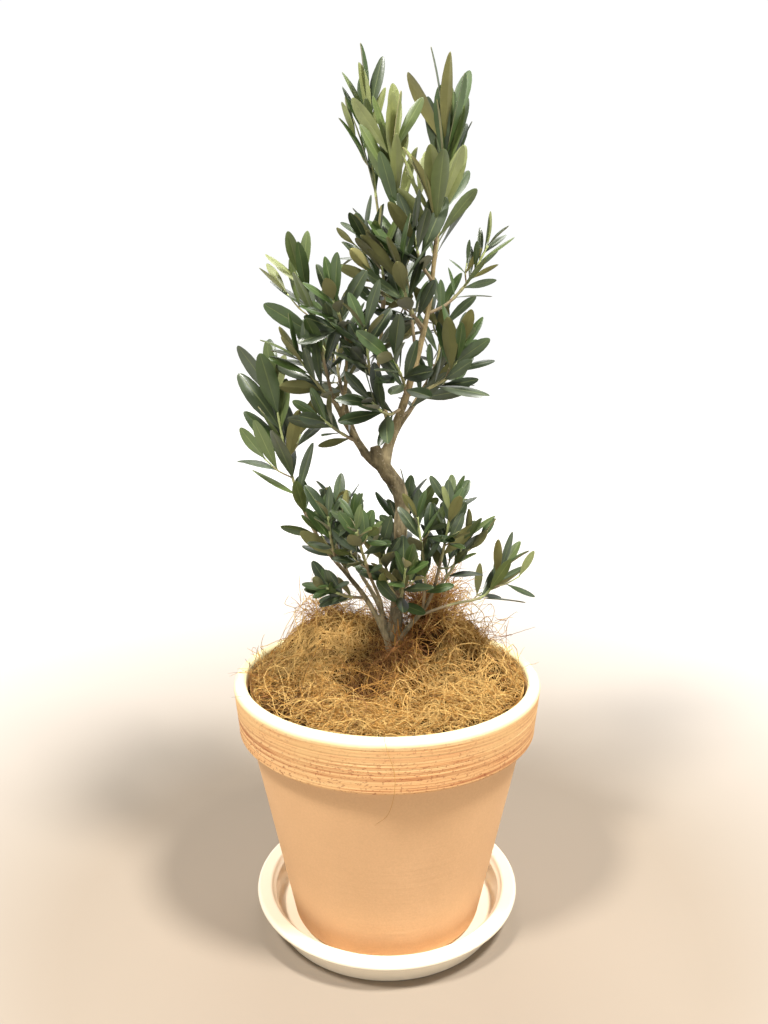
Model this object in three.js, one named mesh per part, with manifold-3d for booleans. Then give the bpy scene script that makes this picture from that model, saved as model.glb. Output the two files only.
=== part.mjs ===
// A potted olive tree: a terracotta pot in a plastic saucer, soil under a coconut-fibre mulch,
// a crooked trunk with its boughs, and masses of opposite leaves on branching twigs.
// Lengths are millimetres. +Z is up, the pot's axis is the Z axis, and the saucer stands on Z = 0.

import * as THREE from "three";
import { mergeVertices } from "three/addons/utils/BufferGeometryUtils.js";
import Module from "manifold-3d";

const wasm = await Module();
wasm.setup();

// ---------------------------------------------------------------- driving dimensions

const CLEAR = 0.3; // gap left between neighbouring pieces

const SAUCER = {
  base: 84.5,
  wall: 86.5, // radius of the wall's outside, under the flange
  flange: 98, // radius of the flange that the wall ends in
  height: 23.5,
  skin: 2.5,
  seat: 62,
};

const POT = {
  bottom: 4,
  top: 188.5,
  foot: 67, // radius of the flat underside
  base: 70, // radius of the body above the rounded foot
  neck: 99.5, // radius of the body under the collar
  neckHeight: 150,
  collar: 107, // radius of the collar at its lower edge
  rim: 110,
  mouth: 101.2,
  floor: 9,
  drain: 12.5,
};

const SOIL_TOP = 165;
const MULCH_LEVEL = 182;

// The mulch is combed up into mounds: centre, height over the level part, and spread.
const MOUNDS = [
  { x: -50, y: 40, rise: 28, spread: 34 },
  { x: -8, y: 50, rise: 18, spread: 32 },
  { x: 54, y: 26, rise: 34, spread: 21 },
  { x: 78, y: 6, rise: 13, spread: 18 },
  { x: -60, y: -30, rise: 5, spread: 26 },
  { x: 2, y: 6, rise: 22, spread: 32 },
];

// A tuft of fibre stands up behind the trunk's foot.
const TUFT = { x: 31, y: 25, low: 188, tip: 250, radius: 26 };

// ---------------------------------------------------------------- helpers

const vector = (p) => new THREE.Vector3(...p);

function mix(a, b, share) {
  return a + (b - a) * share;
}

// A value that runs evenly through a list while `along` goes from 0 to 1.
function listAt(list, along) {
  const place = Math.min(Math.max(along, 0), 1) * (list.length - 1);
  const low = Math.min(Math.floor(place), list.length - 2);
  return mix(list[low], list[low + 1], place - low);
}

// Repeatable random numbers from 0 to 1.
function seeded(seed) {
  let state = (seed * 7919) >>> 0;
  const next = () => {
    state = (Math.imul(state, 1664525) + 1013904223) >>> 0;
    return state / 4294967296;
  };
  next();
  next();
  return next;
}

// A closed three.js geometry as a manifold-3d solid.
function solid(geometry) {
  const bare = new THREE.BufferGeometry();
  bare.setAttribute("position", geometry.getAttribute("position"));
  bare.setIndex(geometry.getIndex());
  const welded = mergeVertices(bare, 1e-4);
  return new wasm.Manifold(
    new wasm.Mesh({
      numProp: 3,
      vertProperties: welded.getAttribute("position").array,
      triVerts: Uint32Array.from(welded.getIndex().array),
    }),
  );
}

// A named mesh from a solid, with its own material.
function piece(name, shape, material) {
  const cut = shape.getMesh();
  const geometry = new THREE.BufferGeometry();
  geometry.setAttribute("position", new THREE.BufferAttribute(cut.vertProperties, 3));
  geometry.setIndex(new THREE.BufferAttribute(cut.triVerts, 1));
  geometry.computeVertexNormals();
  const mesh = new THREE.Mesh(geometry, new THREE.MeshStandardMaterial(material));
  mesh.name = name;
  return mesh;
}

// Points of a quarter ellipse in the profile plane, from one angle to another in degrees.
function quarter(centreR, centreZ, radiusR, radiusZ, from, to, steps) {
  return Array.from({ length: steps + 1 }, (_, i) => {
    const angle = THREE.MathUtils.degToRad(mix(from, to, i / steps));
    return [centreR + radiusR * Math.cos(angle), centreZ + radiusZ * Math.sin(angle)];
  });
}

// A profile of [radius, height] points turned about the Z axis.
function turned(profile, segments) {
  const points = profile.map(([r, z]) => new THREE.Vector2(r, z));
  if (THREE.ShapeUtils.area(points) < 0) points.reverse();
  if (points.every((p) => p.x > 0)) points.push(points[0].clone());
  return new THREE.LatheGeometry(points, segments).rotateX(Math.PI / 2);
}

// ---------------------------------------------------------------- pot, saucer, soil, mulch

function saucer() {
  const { base, wall, flange, height, skin, seat } = SAUCER;
  const profile = [
    [0, 0],
    [base - 1, 0],
    [base, 1.5],
    [wall, height - 6],
    [wall + 3, height - 4.5],
    ...quarter(flange - 2.5, height - 2.5, 2.5, 2.5, -50, 90, 3),
    [flange - 7, height - 0.3],
    [wall - 1, height - 2.2],
    [wall - skin, height - 4],
    [base - skin, skin + 2],
    [base - skin - 2, skin],
    [seat + 3, skin],
    [seat + 1, POT.bottom - CLEAR],
    [0, POT.bottom - CLEAR],
  ];
  return solid(turned(profile, 40));
}

// The radius of the pot's inside at a height.
function insideRadius(z) {
  const floorTop = POT.bottom + POT.floor;
  if (z < POT.neckHeight) {
    const share = (z - floorTop) / (POT.neckHeight - floorTop);
    return mix(POT.base - 7.5, POT.neck - 8.5, share);
  }
  const share = (z - POT.neckHeight) / (POT.top - 3.5 - POT.neckHeight);
  return mix(POT.neck - 8.5, POT.mouth, share);
}

function pot() {
  const floorTop = POT.bottom + POT.floor;
  const profile = [
    [POT.drain, POT.bottom],
    ...quarter(POT.foot, POT.bottom + 3, POT.base - POT.foot, 3, -90, 0, 3),
    [POT.neck, POT.neckHeight],
    [POT.collar - 3, POT.neckHeight + 1],
    [POT.collar - 0.8, POT.neckHeight + 2.4],
    [POT.collar, POT.neckHeight + 5],
    ...quarter(POT.rim - 5.5, POT.top - 7, 5.5, 7, 0, 90, 4),
    [POT.mouth + 1, POT.top - 1.2],
    [POT.mouth, POT.top - 3.5],
    [insideRadius(POT.neckHeight), POT.neckHeight],
    [insideRadius(floorTop), floorTop],
    [POT.drain, floorTop],
  ];
  return solid(turned(profile, 40));
}

function soil() {
  const low = POT.bottom + POT.floor + CLEAR;
  const play = CLEAR * 1.5;
  const profile = [
    [0, low],
    [insideRadius(low) - play, low],
    [insideRadius(POT.neckHeight) - play, POT.neckHeight],
    [insideRadius(SOIL_TOP) - play, SOIL_TOP],
    [0, SOIL_TOP],
  ];
  return solid(turned(profile, 40));
}

// The height of the mulch over a point of the pot's mouth.
function mulchHeight(x, y) {
  let height = MULCH_LEVEL + 1.6 * Math.sin(x / 6 + 1) * Math.cos(y / 7);
  for (const mound of MOUNDS) {
    const away = Math.hypot(x - mound.x, y - mound.y) / mound.spread;
    height += mound.rise * Math.exp(-away * away);
  }
  const edge = THREE.MathUtils.smoothstep(Math.hypot(x, y), 80, 99);
  return mix(height, MULCH_LEVEL, edge);
}

function mulch() {
  const low = SOIL_TOP + CLEAR;
  const play = CLEAR * 2;
  const profile = [
    [0, low],
    [insideRadius(low) - play, low],
  ];
  const rings = 7;
  for (let ring = rings; ring >= 0; ring -= 1) {
    profile.push([(ring / rings) * (insideRadius(MULCH_LEVEL) - play), MULCH_LEVEL]);
  }
  const heap = turned(profile, 32);
  const position = heap.getAttribute("position");
  for (let i = 0; i < position.count; i += 1) {
    if (position.getZ(i) > low + 1) {
      position.setZ(i, mulchHeight(position.getX(i), position.getY(i)));
    }
  }
  const tall = TUFT.tip - TUFT.low;
  const tuft = new THREE.ConeGeometry(TUFT.radius, tall, 9, 4).rotateX(Math.PI / 2);
  const strands = tuft.getAttribute("position");
  for (let i = 0; i < strands.count; i += 1) {
    const up = strands.getZ(i) / tall + 0.5;
    const swell = 1 + 0.9 * up * (1 - up) + 0.16 * Math.sin(5 * strands.getX(i) + 3 * up);
    strands.setX(i, strands.getX(i) * swell + TUFT.x);
    strands.setY(i, strands.getY(i) * swell + TUFT.y);
    strands.setZ(i, strands.getZ(i) + (TUFT.low + TUFT.tip) / 2);
  }
  return solid(heap).add(solid(tuft));
}

// ---------------------------------------------------------------- limbs

// A tapering limb: a cylinder bent along a curve. `grow` fattens it, to cut its neighbours clear.
function limb({ points, radii, sides = 6, spacing = 14, lobes = 0 }, grow = 0) {
  const path = new THREE.CatmullRomCurve3(points.map(vector));
  const rings = Math.max(2, Math.round(path.getLength() / spacing));
  const frames = path.computeFrenetFrames(rings);
  const bent = new THREE.CylinderGeometry(1, 1, 1, sides, rings);
  const position = bent.getAttribute("position");
  for (let i = 0; i < position.count; i += 1) {
    const along = position.getY(i) + 0.5;
    const ring = Math.round(along * rings);
    const around = Math.atan2(position.getZ(i), position.getX(i));
    const flare = 1 + lobes * Math.max(0, 1 - along * 6) * Math.cos(3 * around + 1);
    const radius = listAt(radii, along) * flare + grow / Math.cos(Math.PI / sides);
    const beyond = along === 1 ? grow : along === 0 ? -grow : 0;
    const point = path.getPointAt(along).addScaledVector(path.getTangentAt(along), beyond);
    point.addScaledVector(frames.binormals[ring], position.getX(i) * radius);
    point.addScaledVector(frames.normals[ring], position.getZ(i) * radius);
    position.setXYZ(i, point.x, point.y, point.z);
  }
  return solid(bent);
}

// Trunk and boughs, each by a few points along its middle and its radii from foot to tip.
// A bough's first point lies inside its carrier, which cuts the bough 0.3 mm clear of itself.
const TRUNK = {
  points: [
    [2, 2, 160],
    [3, 1, 188],
    [5, 0, 214],
    [9.5, 0, 266],
    [9, 0, 292],
    [10.4, 0, 311],
    [7.5, -2, 325],
    [0.6, -3, 335],
    [-5.5, -3, 344],
    [-8.5, -3, 354],
  ],
  radii: [11, 9, 6.6, 5.4, 4.8, 4.6, 4.6, 4.9, 5.6, 5.6, 3.7],
  sides: 10,
  lobes: 0.22,
};

const BOUGHS = [
  {
    name: "bough_left",
    carrier: "trunk",
    points: [
      [-4, -3, 340],
      [-13, -6, 347],
      [-27, -10, 369],
      [-38, -12, 391],
    ],
    radii: [3, 2.3, 1.7],
  },
  {
    name: "bough_left_upright",
    carrier: "bough_left",
    points: [
      [-30, -11, 376],
      [-28.5, -8, 388],
      [-26.5, -8, 425],
    ],
    radii: [1.5, 1.3, 1.1],
  },
  {
    name: "bough_leader",
    carrier: "trunk",
    points: [
      [-3, -2, 340],
      [-1, 0, 348],
      [6, 0, 368],
      [15, -8, 396],
      [27, -10, 446],
      [31, -14, 488],
    ],
    radii: [3.7, 3.1, 2.4, 2, 1.7, 1.4],
  },
  {
    name: "bough_centre",
    carrier: "bough_leader",
    points: [
      [3, 0, 360],
      [-2.8, 8, 383],
      [-6.2, 10, 396],
      [-3, 8, 441],
    ],
    radii: [1.9, 1.6, 1.3],
  },
  {
    name: "bough_low_left",
    carrier: "trunk",
    points: [
      [3, -2, 200],
      [-2, -12, 222],
      [-15, -18, 250],
      [-44, -24, 289],
    ],
    radii: [2.6, 1.9, 1.3],
  },
  {
    name: "bough_low_front",
    carrier: "bough_low_left",
    points: [
      [-3.5, -13, 228],
      [-4, -20, 246],
      [-11.7, -32, 270],
    ],
    radii: [1.6, 1.2],
  },
  {
    name: "bough_low_right",
    carrier: "trunk",
    points: [
      [5, -2, 206],
      [13, -8, 222],
      [28, -15, 245],
      [34, -18, 263],
    ],
    radii: [2.1, 1.7, 1.3],
  },
  {
    name: "bough_back_left",
    carrier: "bough_left",
    points: [
      [-15, -6.7, 349],
      [-25, 14, 366],
      [-31, 33, 384],
    ],
    radii: [2.2, 1.5],
  },
  {
    name: "bough_back_right",
    carrier: "bough_leader",
    points: [
      [3.5, 0, 361],
      [17, 18, 378],
      [28, 34, 394],
    ],
    radii: [2.2, 1.5],
  },
  {
    name: "bough_low_back_left",
    carrier: "trunk",
    points: [
      [4, 1, 212],
      [-7, 22, 234],
      [-20, 38, 252],
    ],
    radii: [2.3, 1.5],
  },
  {
    name: "bough_low_back_right",
    carrier: "trunk",
    points: [
      [6, 1, 226],
      [6, 24, 244],
      [10, 44, 260],
    ],
    radii: [2.1, 1.5],
  },
];

// ---------------------------------------------------------------- foliage

// One leaf: a pointed outline with a keel under it. `root` lies past the twig's axis, `axis` runs
// to the tip, `face` is the upper side, and the blade bends away from that side towards its tip.
const LEAF_KEEL = 0.9;
const LEAF_BELLY = 0.6; // where along the leaf it is widest

function leafCorners({ root, axis, face, length, width, bend }) {
  const across = new THREE.Vector3().crossVectors(axis, face);
  const at = (along, side, up) => {
    const point = root.clone().addScaledVector(axis, along * length);
    point.addScaledVector(across, side);
    return point.addScaledVector(face, up - bend * length * along * along);
  };
  return [
    at(0, 0, 0),
    at(LEAF_BELLY, width / 2, 0),
    at(1, 0, 0),
    at(LEAF_BELLY, -width / 2, 0),
    at(LEAF_BELLY - 0.05, 0, -LEAF_KEEL),
  ];
}

function leafSolid(leaf) {
  const top = [0, 1, 3, 1, 2, 3];
  const bottom = [0, 1, 2, 3].flatMap((i) => [(i + 1) % 4, i, 4]);
  const geometry = new THREE.BufferGeometry().setFromPoints(leafCorners(leaf));
  geometry.setIndex([...top, ...bottom]);
  return solid(geometry);
}

// The space a leaf needs: its own, and the gap it keeps all round.
function leafSpace(leaf) {
  const ways = [-1, 1].flatMap((way) => [0, 1, 2].map((k) => new THREE.Vector3().setComponent(k, way)));
  const points = leafCorners(leaf).flatMap((corner) =>
    ways.map((way) => corner.clone().addScaledVector(way, CLEAR * 1.5).toArray()),
  );
  return wasm.Manifold.hull(points);
}

// Where a twig is, and which way it runs, at a share of its length. Leaves turn about `tangent`
// from `side`, which is level with the view from the front, towards `deep`.
function stationOn(path, along) {
  const tangent = path.getTangentAt(along);
  const side = new THREE.Vector3().crossVectors(tangent, new THREE.Vector3(0, 1, 0)).normalize();
  const deep = new THREE.Vector3().crossVectors(side, tangent);
  return { point: path.getPointAt(along), tangent, side, deep };
}

// The direction that leaves a twig at an angle to it, turned about it by `heading`.
function leaving({ tangent, side, deep }, angle, heading) {
  const out = side.clone().multiplyScalar(Math.cos(heading));
  out.addScaledVector(deep, Math.sin(heading));
  const axis = tangent.clone().multiplyScalar(Math.cos(angle));
  axis.addScaledVector(out, Math.sin(angle));
  const face = tangent.clone().multiplyScalar(Math.sin(angle));
  face.addScaledVector(out, -Math.cos(angle));
  return { axis, face };
}

const RAD = Math.PI / 180;

// Leaves turn their upper faces towards the light, some of them the other way.
const LIGHT = new THREE.Vector3(0.1, -0.8, 0.55).normalize();

// Opposite pairs of leaves along a twig, each pair a quarter turn on from the last. They stand
// off at `open` degrees low on the twig and close up to `closed` at its tip. The lowest leaves are
// `foot` times as long and the young last ones `tip` times. The pairs stand evenly where `bunch`
// is 1, and nearer the tip below that.
function leavesOn(path, { pairs, first, bunch, turn, open, closed, leaf, foot, tip, width }, random) {
  const leaves = [];
  for (let pair = 0; pair < pairs; pair += 1) {
    const along = mix(first, 1, Math.pow(pair / (pairs - 1), bunch));
    const station = stationOn(path, Math.min(along, 0.995));
    const young = Math.pow(along, 5);
    for (let twin = 0; twin < 2; twin += 1) {
      const heading = (turn + 90 * pair + 180 * twin + 40 * (random() - 0.5)) * RAD;
      const angle = (mix(open, closed, along) + 18 * (random() - 0.5)) * RAD;
      const size = mix(foot, 1, Math.min(1, along * 2)) * mix(1, tip, young);
      const length = leaf * size * (0.82 + 0.36 * random());
      const broad = length * width * (0.88 + 0.24 * random());
      const facing = random();
      const pull = facing < 0.22 ? -1.3 : 0.3 + 1.5 * facing;
      const bend = 0.02 + 0.14 * random();
      const { axis, face } = leaving(station, angle, heading);
      const light = LIGHT.clone().addScaledVector(axis, -LIGHT.dot(axis));
      face.addScaledVector(light, pull).normalize();
      const root = station.point.clone().addScaledVector(axis, -0.6);
      leaves.push({ root, axis, face, length, width: broad, bend });
    }
  }
  return leaves;
}

// Side twigs of a stem: they leave it at 48 degrees, a golden angle apart, and curve along it.
function sideTwigs(path, { shoots, turn }, random) {
  const long = path.getLength();
  const twigs = [];
  for (let shoot = 0; shoot < shoots; shoot += 1) {
    const along = mix(0.15, 0.75, (shoot + random()) / shoots);
    const heading = (turn + 45 + 137.5 * shoot + 40 * (random() - 0.5)) * RAD;
    const reach = Math.min(46, Math.max(24, long * (1 - along) * mix(0.6, 0.9, random())));
    const station = stationOn(path, along);
    const { axis } = leaving(station, 48 * RAD, heading);
    const middle = station.point.clone().addScaledVector(axis, reach * 0.5);
    const tip = middle.clone().addScaledVector(axis, reach * 0.25);
    tip.addScaledVector(station.tangent, reach * 0.25);
    twigs.push([station.point, middle, tip]);
  }
  return twigs;
}

// Each mass: the limb that carries it, the middle of its stem, the pairs on the stem, the share
// of the stem that is bare, the turn of the first pair, its side twigs, and its leaves' length.
const SPRAY = {
  open: 54, closed: 22, first: 0.2, bunch: 0.85, shoots: 0, foot: 0.8, tip: 0.8, width: 0.28,
};
const UPRIGHT = { ...SPRAY, open: 36, closed: 10, bunch: 0.45, tip: 0.95, width: 0.21 };
const BROAD = { ...SPRAY, width: 0.33 };

const MASSES = [
  {
    ...UPRIGHT,
    name: "foliage_top_left",
    carrier: "bough_centre",
    points: [[-4.2, 8.6, 424], [-3, 14, 480], [-9, 14, 530], [-12.8, 13, 569]],
    pairs: 8, first: 0.4, turn: 10, leaf: 45, seed: 13,
  },
  {
    ...UPRIGHT,
    name: "foliage_top_centre",
    carrier: "bough_leader",
    points: [[19.5, -9, 411], [13, -5, 464], [7, -6, 506], [2.7, -6, 540]],
    pairs: 8, first: 0.45, turn: 60, leaf: 50, seed: 12,
  },
  {
    ...UPRIGHT,
    name: "foliage_top_right",
    carrier: "bough_leader",
    points: [[27.5, -10, 450], [34, 8, 494], [38, 17, 528], [38.6, 18, 553]],
    pairs: 10, first: 0.3, turn: 40, leaf: 52, seed: 14,
  },
  {
    ...UPRIGHT,
    name: "foliage_leader_tip",
    carrier: "bough_leader",
    points: [[31, -14, 486], [31, -16, 493], [30.6, -18, 501]],
    pairs: 7, first: 0.1, turn: 0, leaf: 46, width: 0.24, seed: 15,
  },
  {
    ...SPRAY,
    name: "foliage_upper_centre",
    carrier: "bough_centre",
    points: [[-3.3, 8, 438], [-2, -6, 456], [-5, -16, 484]],
    pairs: 6, first: 0.15, turn: 20, shoots: 1, leaf: 34, seed: 11,
  },
  {
    ...SPRAY,
    name: "foliage_upper_right",
    carrier: "bough_leader",
    points: [[26.5, -10, 442], [40, -5, 449], [54, -1, 464], [66, 0, 486]],
    pairs: 7, first: 0.35, turn: 30, leaf: 25, width: 0.2, seed: 16,
  },
  {
    ...SPRAY,
    name: "foliage_upper_left",
    carrier: "bough_left",
    points: [[-37, -12, 389], [-42, -12.5, 412], [-48, -13, 441], [-57, -13, 466]],
    pairs: 8, turn: 0, closed: 28, leaf: 40, width: 0.25, seed: 17,
  },
  {
    ...SPRAY,
    name: "foliage_mid_left",
    carrier: "bough_left",
    points: [[-32, -11.5, 380], [-45, -20, 396], [-57, -26, 414]],
    pairs: 6, turn: 70, shoots: 1, leaf: 32, seed: 18,
  },
  {
    ...SPRAY,
    name: "foliage_mid_left_inner",
    carrier: "bough_left_upright",
    points: [[-26.5, -8, 423], [-29, -20, 435], [-34, -32, 450]],
    pairs: 6, turn: 0, leaf: 34, seed: 19,
  },
  {
    ...SPRAY,
    name: "foliage_mid_left_low",
    carrier: "bough_left",
    points: [[-20, -8, 357], [-33, -18, 366], [-44, -26, 376]],
    pairs: 5, turn: 30, leaf: 28, seed: 36,
  },
  {
    ...SPRAY,
    name: "foliage_mid_front",
    carrier: "bough_leader",
    points: [[12.5, -6, 389], [10, -28, 400], [4, -46, 414]],
    pairs: 6, turn: 45, leaf: 34, seed: 37,
  },
  {
    ...SPRAY,
    name: "foliage_mid_centre",
    carrier: "bough_centre",
    points: [[-5.2, 9.8, 390], [-11, -20, 404], [-14, -40, 432]],
    pairs: 6, first: 0.4, turn: 45, shoots: 1, leaf: 34, seed: 20,
  },
  {
    ...SPRAY,
    name: "foliage_mid_right",
    carrier: "bough_leader",
    points: [[12.4, -6, 388], [30, -13, 395], [42, -17, 404], [47, -18, 420]],
    pairs: 6, first: 0.4, turn: 0, leaf: 34, seed: 21,
  },
  {
    ...SPRAY,
    name: "foliage_mid_right_low",
    carrier: "bough_leader",
    points: [[8, -1, 372], [22, 12, 384], [34, 20, 404]],
    pairs: 5, first: 0.3, turn: 90, shoots: 1, leaf: 32, seed: 22,
  },
  {
    ...BROAD,
    name: "foliage_left_long",
    carrier: "bough_low_left",
    points: [[-43.4, -24, 288], [-57, -22, 315], [-69, -17, 356], [-76, -12, 396]],
    pairs: 10, first: 0.08, turn: 0, open: 42, closed: 16, leaf: 42, foot: 0.5, width: 0.3, seed: 23,
  },
  {
    ...BROAD,
    name: "foliage_low_left",
    carrier: "bough_low_left",
    points: [[-15, -18, 250], [-28, -26, 254], [-41, -34, 262]],
    pairs: 5, first: 0.35, turn: 45, leaf: 23, seed: 38,
  },
  {
    ...BROAD,
    name: "foliage_low_front_left",
    carrier: "bough_low_front",
    points: [[-11.5, -31.7, 269.5], [-16, -44, 288], [-20, -56, 306]],
    pairs: 6, first: 0.1, turn: 30, shoots: 1, leaf: 28, seed: 24,
  },
  {
    ...BROAD,
    name: "foliage_low_left_inner",
    carrier: "bough_low_left",
    points: [[-24, -20, 262], [-34, -8, 280], [-42, 4, 302]],
    pairs: 6, turn: 80, shoots: 1, leaf: 28, seed: 25,
  },
  {
    ...BROAD,
    name: "foliage_low_front",
    carrier: "trunk",
    points: [[7, -1, 236], [10, -22, 254], [12, -42, 278]],
    pairs: 6, turn: 10, leaf: 30, seed: 26,
  },
  {
    ...BROAD,
    name: "foliage_low_right_inner",
    carrier: "bough_low_right",
    points: [[25, -13.8, 240.5], [26, -22, 266], [20, -30, 310]],
    pairs: 7, turn: 20, leaf: 28, seed: 27,
  },
  {
    ...BROAD,
    name: "foliage_low_right",
    carrier: "bough_low_right",
    points: [[33.5, -17.7, 261], [38, -24, 286], [42, -30, 312]],
    pairs: 6, turn: 60, shoots: 1, leaf: 28, seed: 28,
  },
  {
    ...BROAD,
    name: "foliage_low_right_outer",
    carrier: "bough_low_right",
    points: [[31.5, -16.8, 253], [44, -14, 268], [54, -13, 291]],
    pairs: 5, first: 0.35, turn: 10, leaf: 28, seed: 29,
  },
  {
    ...BROAD,
    name: "foliage_right_reach",
    carrier: "bough_low_right",
    points: [[21, -12, 235], [46, -10, 243], [69, -5, 248], [80, -2, 265]],
    pairs: 5, first: 0.66, turn: 40, leaf: 34, width: 0.24, seed: 30,
  },
  {
    ...SPRAY,
    name: "foliage_back_left",
    carrier: "bough_back_left",
    points: [[-30.7, 32, 383], [-36, 48, 404], [-36, 58, 438]],
    pairs: 7, first: 0.12, turn: 30, shoots: 1, leaf: 36, seed: 31,
  },
  {
    ...SPRAY,
    name: "foliage_back_right",
    carrier: "bough_back_right",
    points: [[27.5, 33.3, 393.3], [37, 48, 412], [40, 58, 446]],
    pairs: 7, first: 0.12, turn: 10, shoots: 1, leaf: 36, seed: 44,
  },
  {
    ...BROAD,
    name: "foliage_low_back_left",
    carrier: "bough_low_back_left",
    points: [[-19.5, 37.4, 251.4], [-32, 50, 270], [-38, 57, 298]],
    pairs: 6, first: 0.15, turn: 50, shoots: 1, leaf: 32, seed: 33,
  },
  {
    ...BROAD,
    name: "foliage_low_back_right",
    carrier: "bough_low_back_right",
    points: [[9.8, 43, 259.2], [14, 56, 274], [16, 64, 302]],
    pairs: 6, first: 0.15, turn: 20, shoots: 1, leaf: 32, seed: 34,
  },
  {
    ...SPRAY,
    name: "foliage_upper_back",
    carrier: "bough_leader",
    points: [[23, -10, 430], [16, 24, 448], [8, 44, 484]],
    pairs: 7, first: 0.3, turn: 40, shoots: 1, leaf: 36, seed: 43,
  },
  {
    ...SPRAY,
    name: "foliage_upper_front",
    carrier: "bough_leader",
    points: [[23.8, -9.5, 433], [14, -22, 446], [8, -30, 470]],
    pairs: 7, turn: 20, shoots: 1, leaf: 38, seed: 44,
  },
  {
    ...SPRAY,
    name: "foliage_upper_inner",
    carrier: "bough_leader",
    points: [[29, -12, 463], [21, -20, 474], [17, -24, 490]],
    pairs: 5, first: 0.3, turn: 70, leaf: 40, seed: 47,
  },
  {
    ...SPRAY,
    name: "foliage_mid_low",
    carrier: "bough_leader",
    points: [[9.6, -3.2, 379.5], [0, -18, 377], [-10, -30, 386]],
    pairs: 6, first: 0.3, turn: 10, leaf: 32, seed: 48,
  },
  {
    ...BROAD,
    name: "foliage_low_left_upright",
    carrier: "bough_low_left",
    points: [[-34, -22, 275.5], [-37, -31, 292], [-39, -37, 312]],
    pairs: 6, turn: 30, leaf: 28, seed: 49,
  },
  {
    ...BROAD,
    name: "foliage_low_centre",
    carrier: "trunk",
    points: [[8.5, 0, 254], [1, -17, 266], [-4, -28, 288]],
    pairs: 6, first: 0.3, turn: 60, leaf: 29, seed: 50,
  },
];

const TWIG = { sides: 3, spacing: 8 };

// ---------------------------------------------------------------- assembly

const shapes = new Map();
const limbSpecs = new Map();

// The one body of a cut shape that holds most of its volume.
function largest(shape) {
  return shape.decompose().sort((a, b) => b.volume() - a.volume())[0];
}

function near(a, b) {
  const boxA = a.boundingBox();
  const boxB = b.boundingBox();
  return [0, 1, 2].every((k) => boxA.min[k] < boxB.max[k] && boxB.min[k] < boxA.max[k]);
}

function touches(shape, others) {
  return others.some((other) => near(shape, other) && !shape.intersect(other).isEmpty());
}

function cutClear(shape, spec) {
  return largest(shape.subtract(limb(spec, CLEAR)));
}

function stemOf(mass) {
  const stem = limb({ ...TWIG, points: mass.points, radii: [1.3, 1.1, 0.7] });
  return cutClear(stem, limbSpecs.get(mass.carrier));
}

// A mass grows on its stem. A side twig or leaf that would touch anything else is left out, and so
// is a scrap that hangs on nothing.
function foliage(mass, stem, others) {
  const random = seeded(mass.seed);
  const parts = [stem];
  const path = new THREE.CatmullRomCurve3(mass.points.map(vector));
  const leaves = leavesOn(path, mass, random);
  for (const [from, middle, tip] of sideTwigs(path, mass, random)) {
    const points = [from, middle, tip].map((p) => p.toArray());
    const twig = { ...TWIG, points, radii: [1, 0.7] };
    const twigPath = new THREE.CatmullRomCurve3([from, middle, tip]);
    const twigRule = { ...mass, pairs: 3, first: 0.45, leaf: mass.leaf * 0.9 };
    const twigLeaves = leavesOn(twigPath, twigRule, random);
    if (!touches(limb(twig, CLEAR), others)) {
      parts.push(limb(twig));
      leaves.push(...twigLeaves);
    }
  }
  const free = leaves.filter((leaf) => !touches(leafSpace(leaf), others));
  parts.push(...free.map(leafSolid));
  return largest(wasm.Manifold.union(parts).simplify(0.04));
}

const POT_CLAY = { color: 0xd9b49a, roughness: 0.85, metalness: 0 };
const SAUCER_PLASTIC = { color: 0xf1efec, roughness: 0.25, metalness: 0 };
const SOIL = { color: 0x4a3a2c, roughness: 1, metalness: 0 };
const FIBRE = { color: 0xa9804f, roughness: 1, metalness: 0 };
const BARK = { color: 0x8a7b66, roughness: 0.9, metalness: 0 };
const LEAF = { color: 0x5c6b3e, roughness: 0.55, metalness: 0 };

const tree = new THREE.Group();

limbSpecs.set("trunk", TRUNK);
const ground = new THREE.BoxGeometry(60, 60, 40).translate(0, 0, SOIL_TOP + CLEAR - 20);
shapes.set("trunk", limb(TRUNK).subtract(solid(ground)));
for (const bough of BOUGHS) {
  limbSpecs.set(bough.name, bough);
  shapes.set(bough.name, cutClear(limb(bough), limbSpecs.get(bough.carrier)));
}
for (const [name, shape] of shapes) {
  tree.add(piece(name, shape, BARK));
}

let bed = mulch();
for (const spec of limbSpecs.values()) {
  bed = bed.subtract(limb(spec, CLEAR * 1.6));
}
bed = largest(bed);
tree.add(piece("saucer", saucer(), SAUCER_PLASTIC));
tree.add(piece("pot", pot(), POT_CLAY));
tree.add(piece("soil", soil(), SOIL));
tree.add(piece("mulch", bed, FIBRE));
shapes.set("mulch", bed);

for (const mass of MASSES) {
  shapes.set(mass.name, stemOf(mass));
}
for (const mass of MASSES) {
  const others = [...shapes].filter(([name]) => name !== mass.name).map(([, shape]) => shape);
  const shape = foliage(mass, shapes.get(mass.name), others);
  shapes.set(mass.name, shape);
  tree.add(piece(mass.name, shape, LEAF));
}

export default tree;
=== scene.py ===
"""The looks of the potted olive tree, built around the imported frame.

Sizes are millimetres until a mesh is made, when MM turns them into metres. +Z is up, the pot's axis
is the Z axis and the view from the front looks along +Y.
"""

import math
from itertools import product

import bpy
import numpy as np
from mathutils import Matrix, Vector, kdtree, noise


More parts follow.
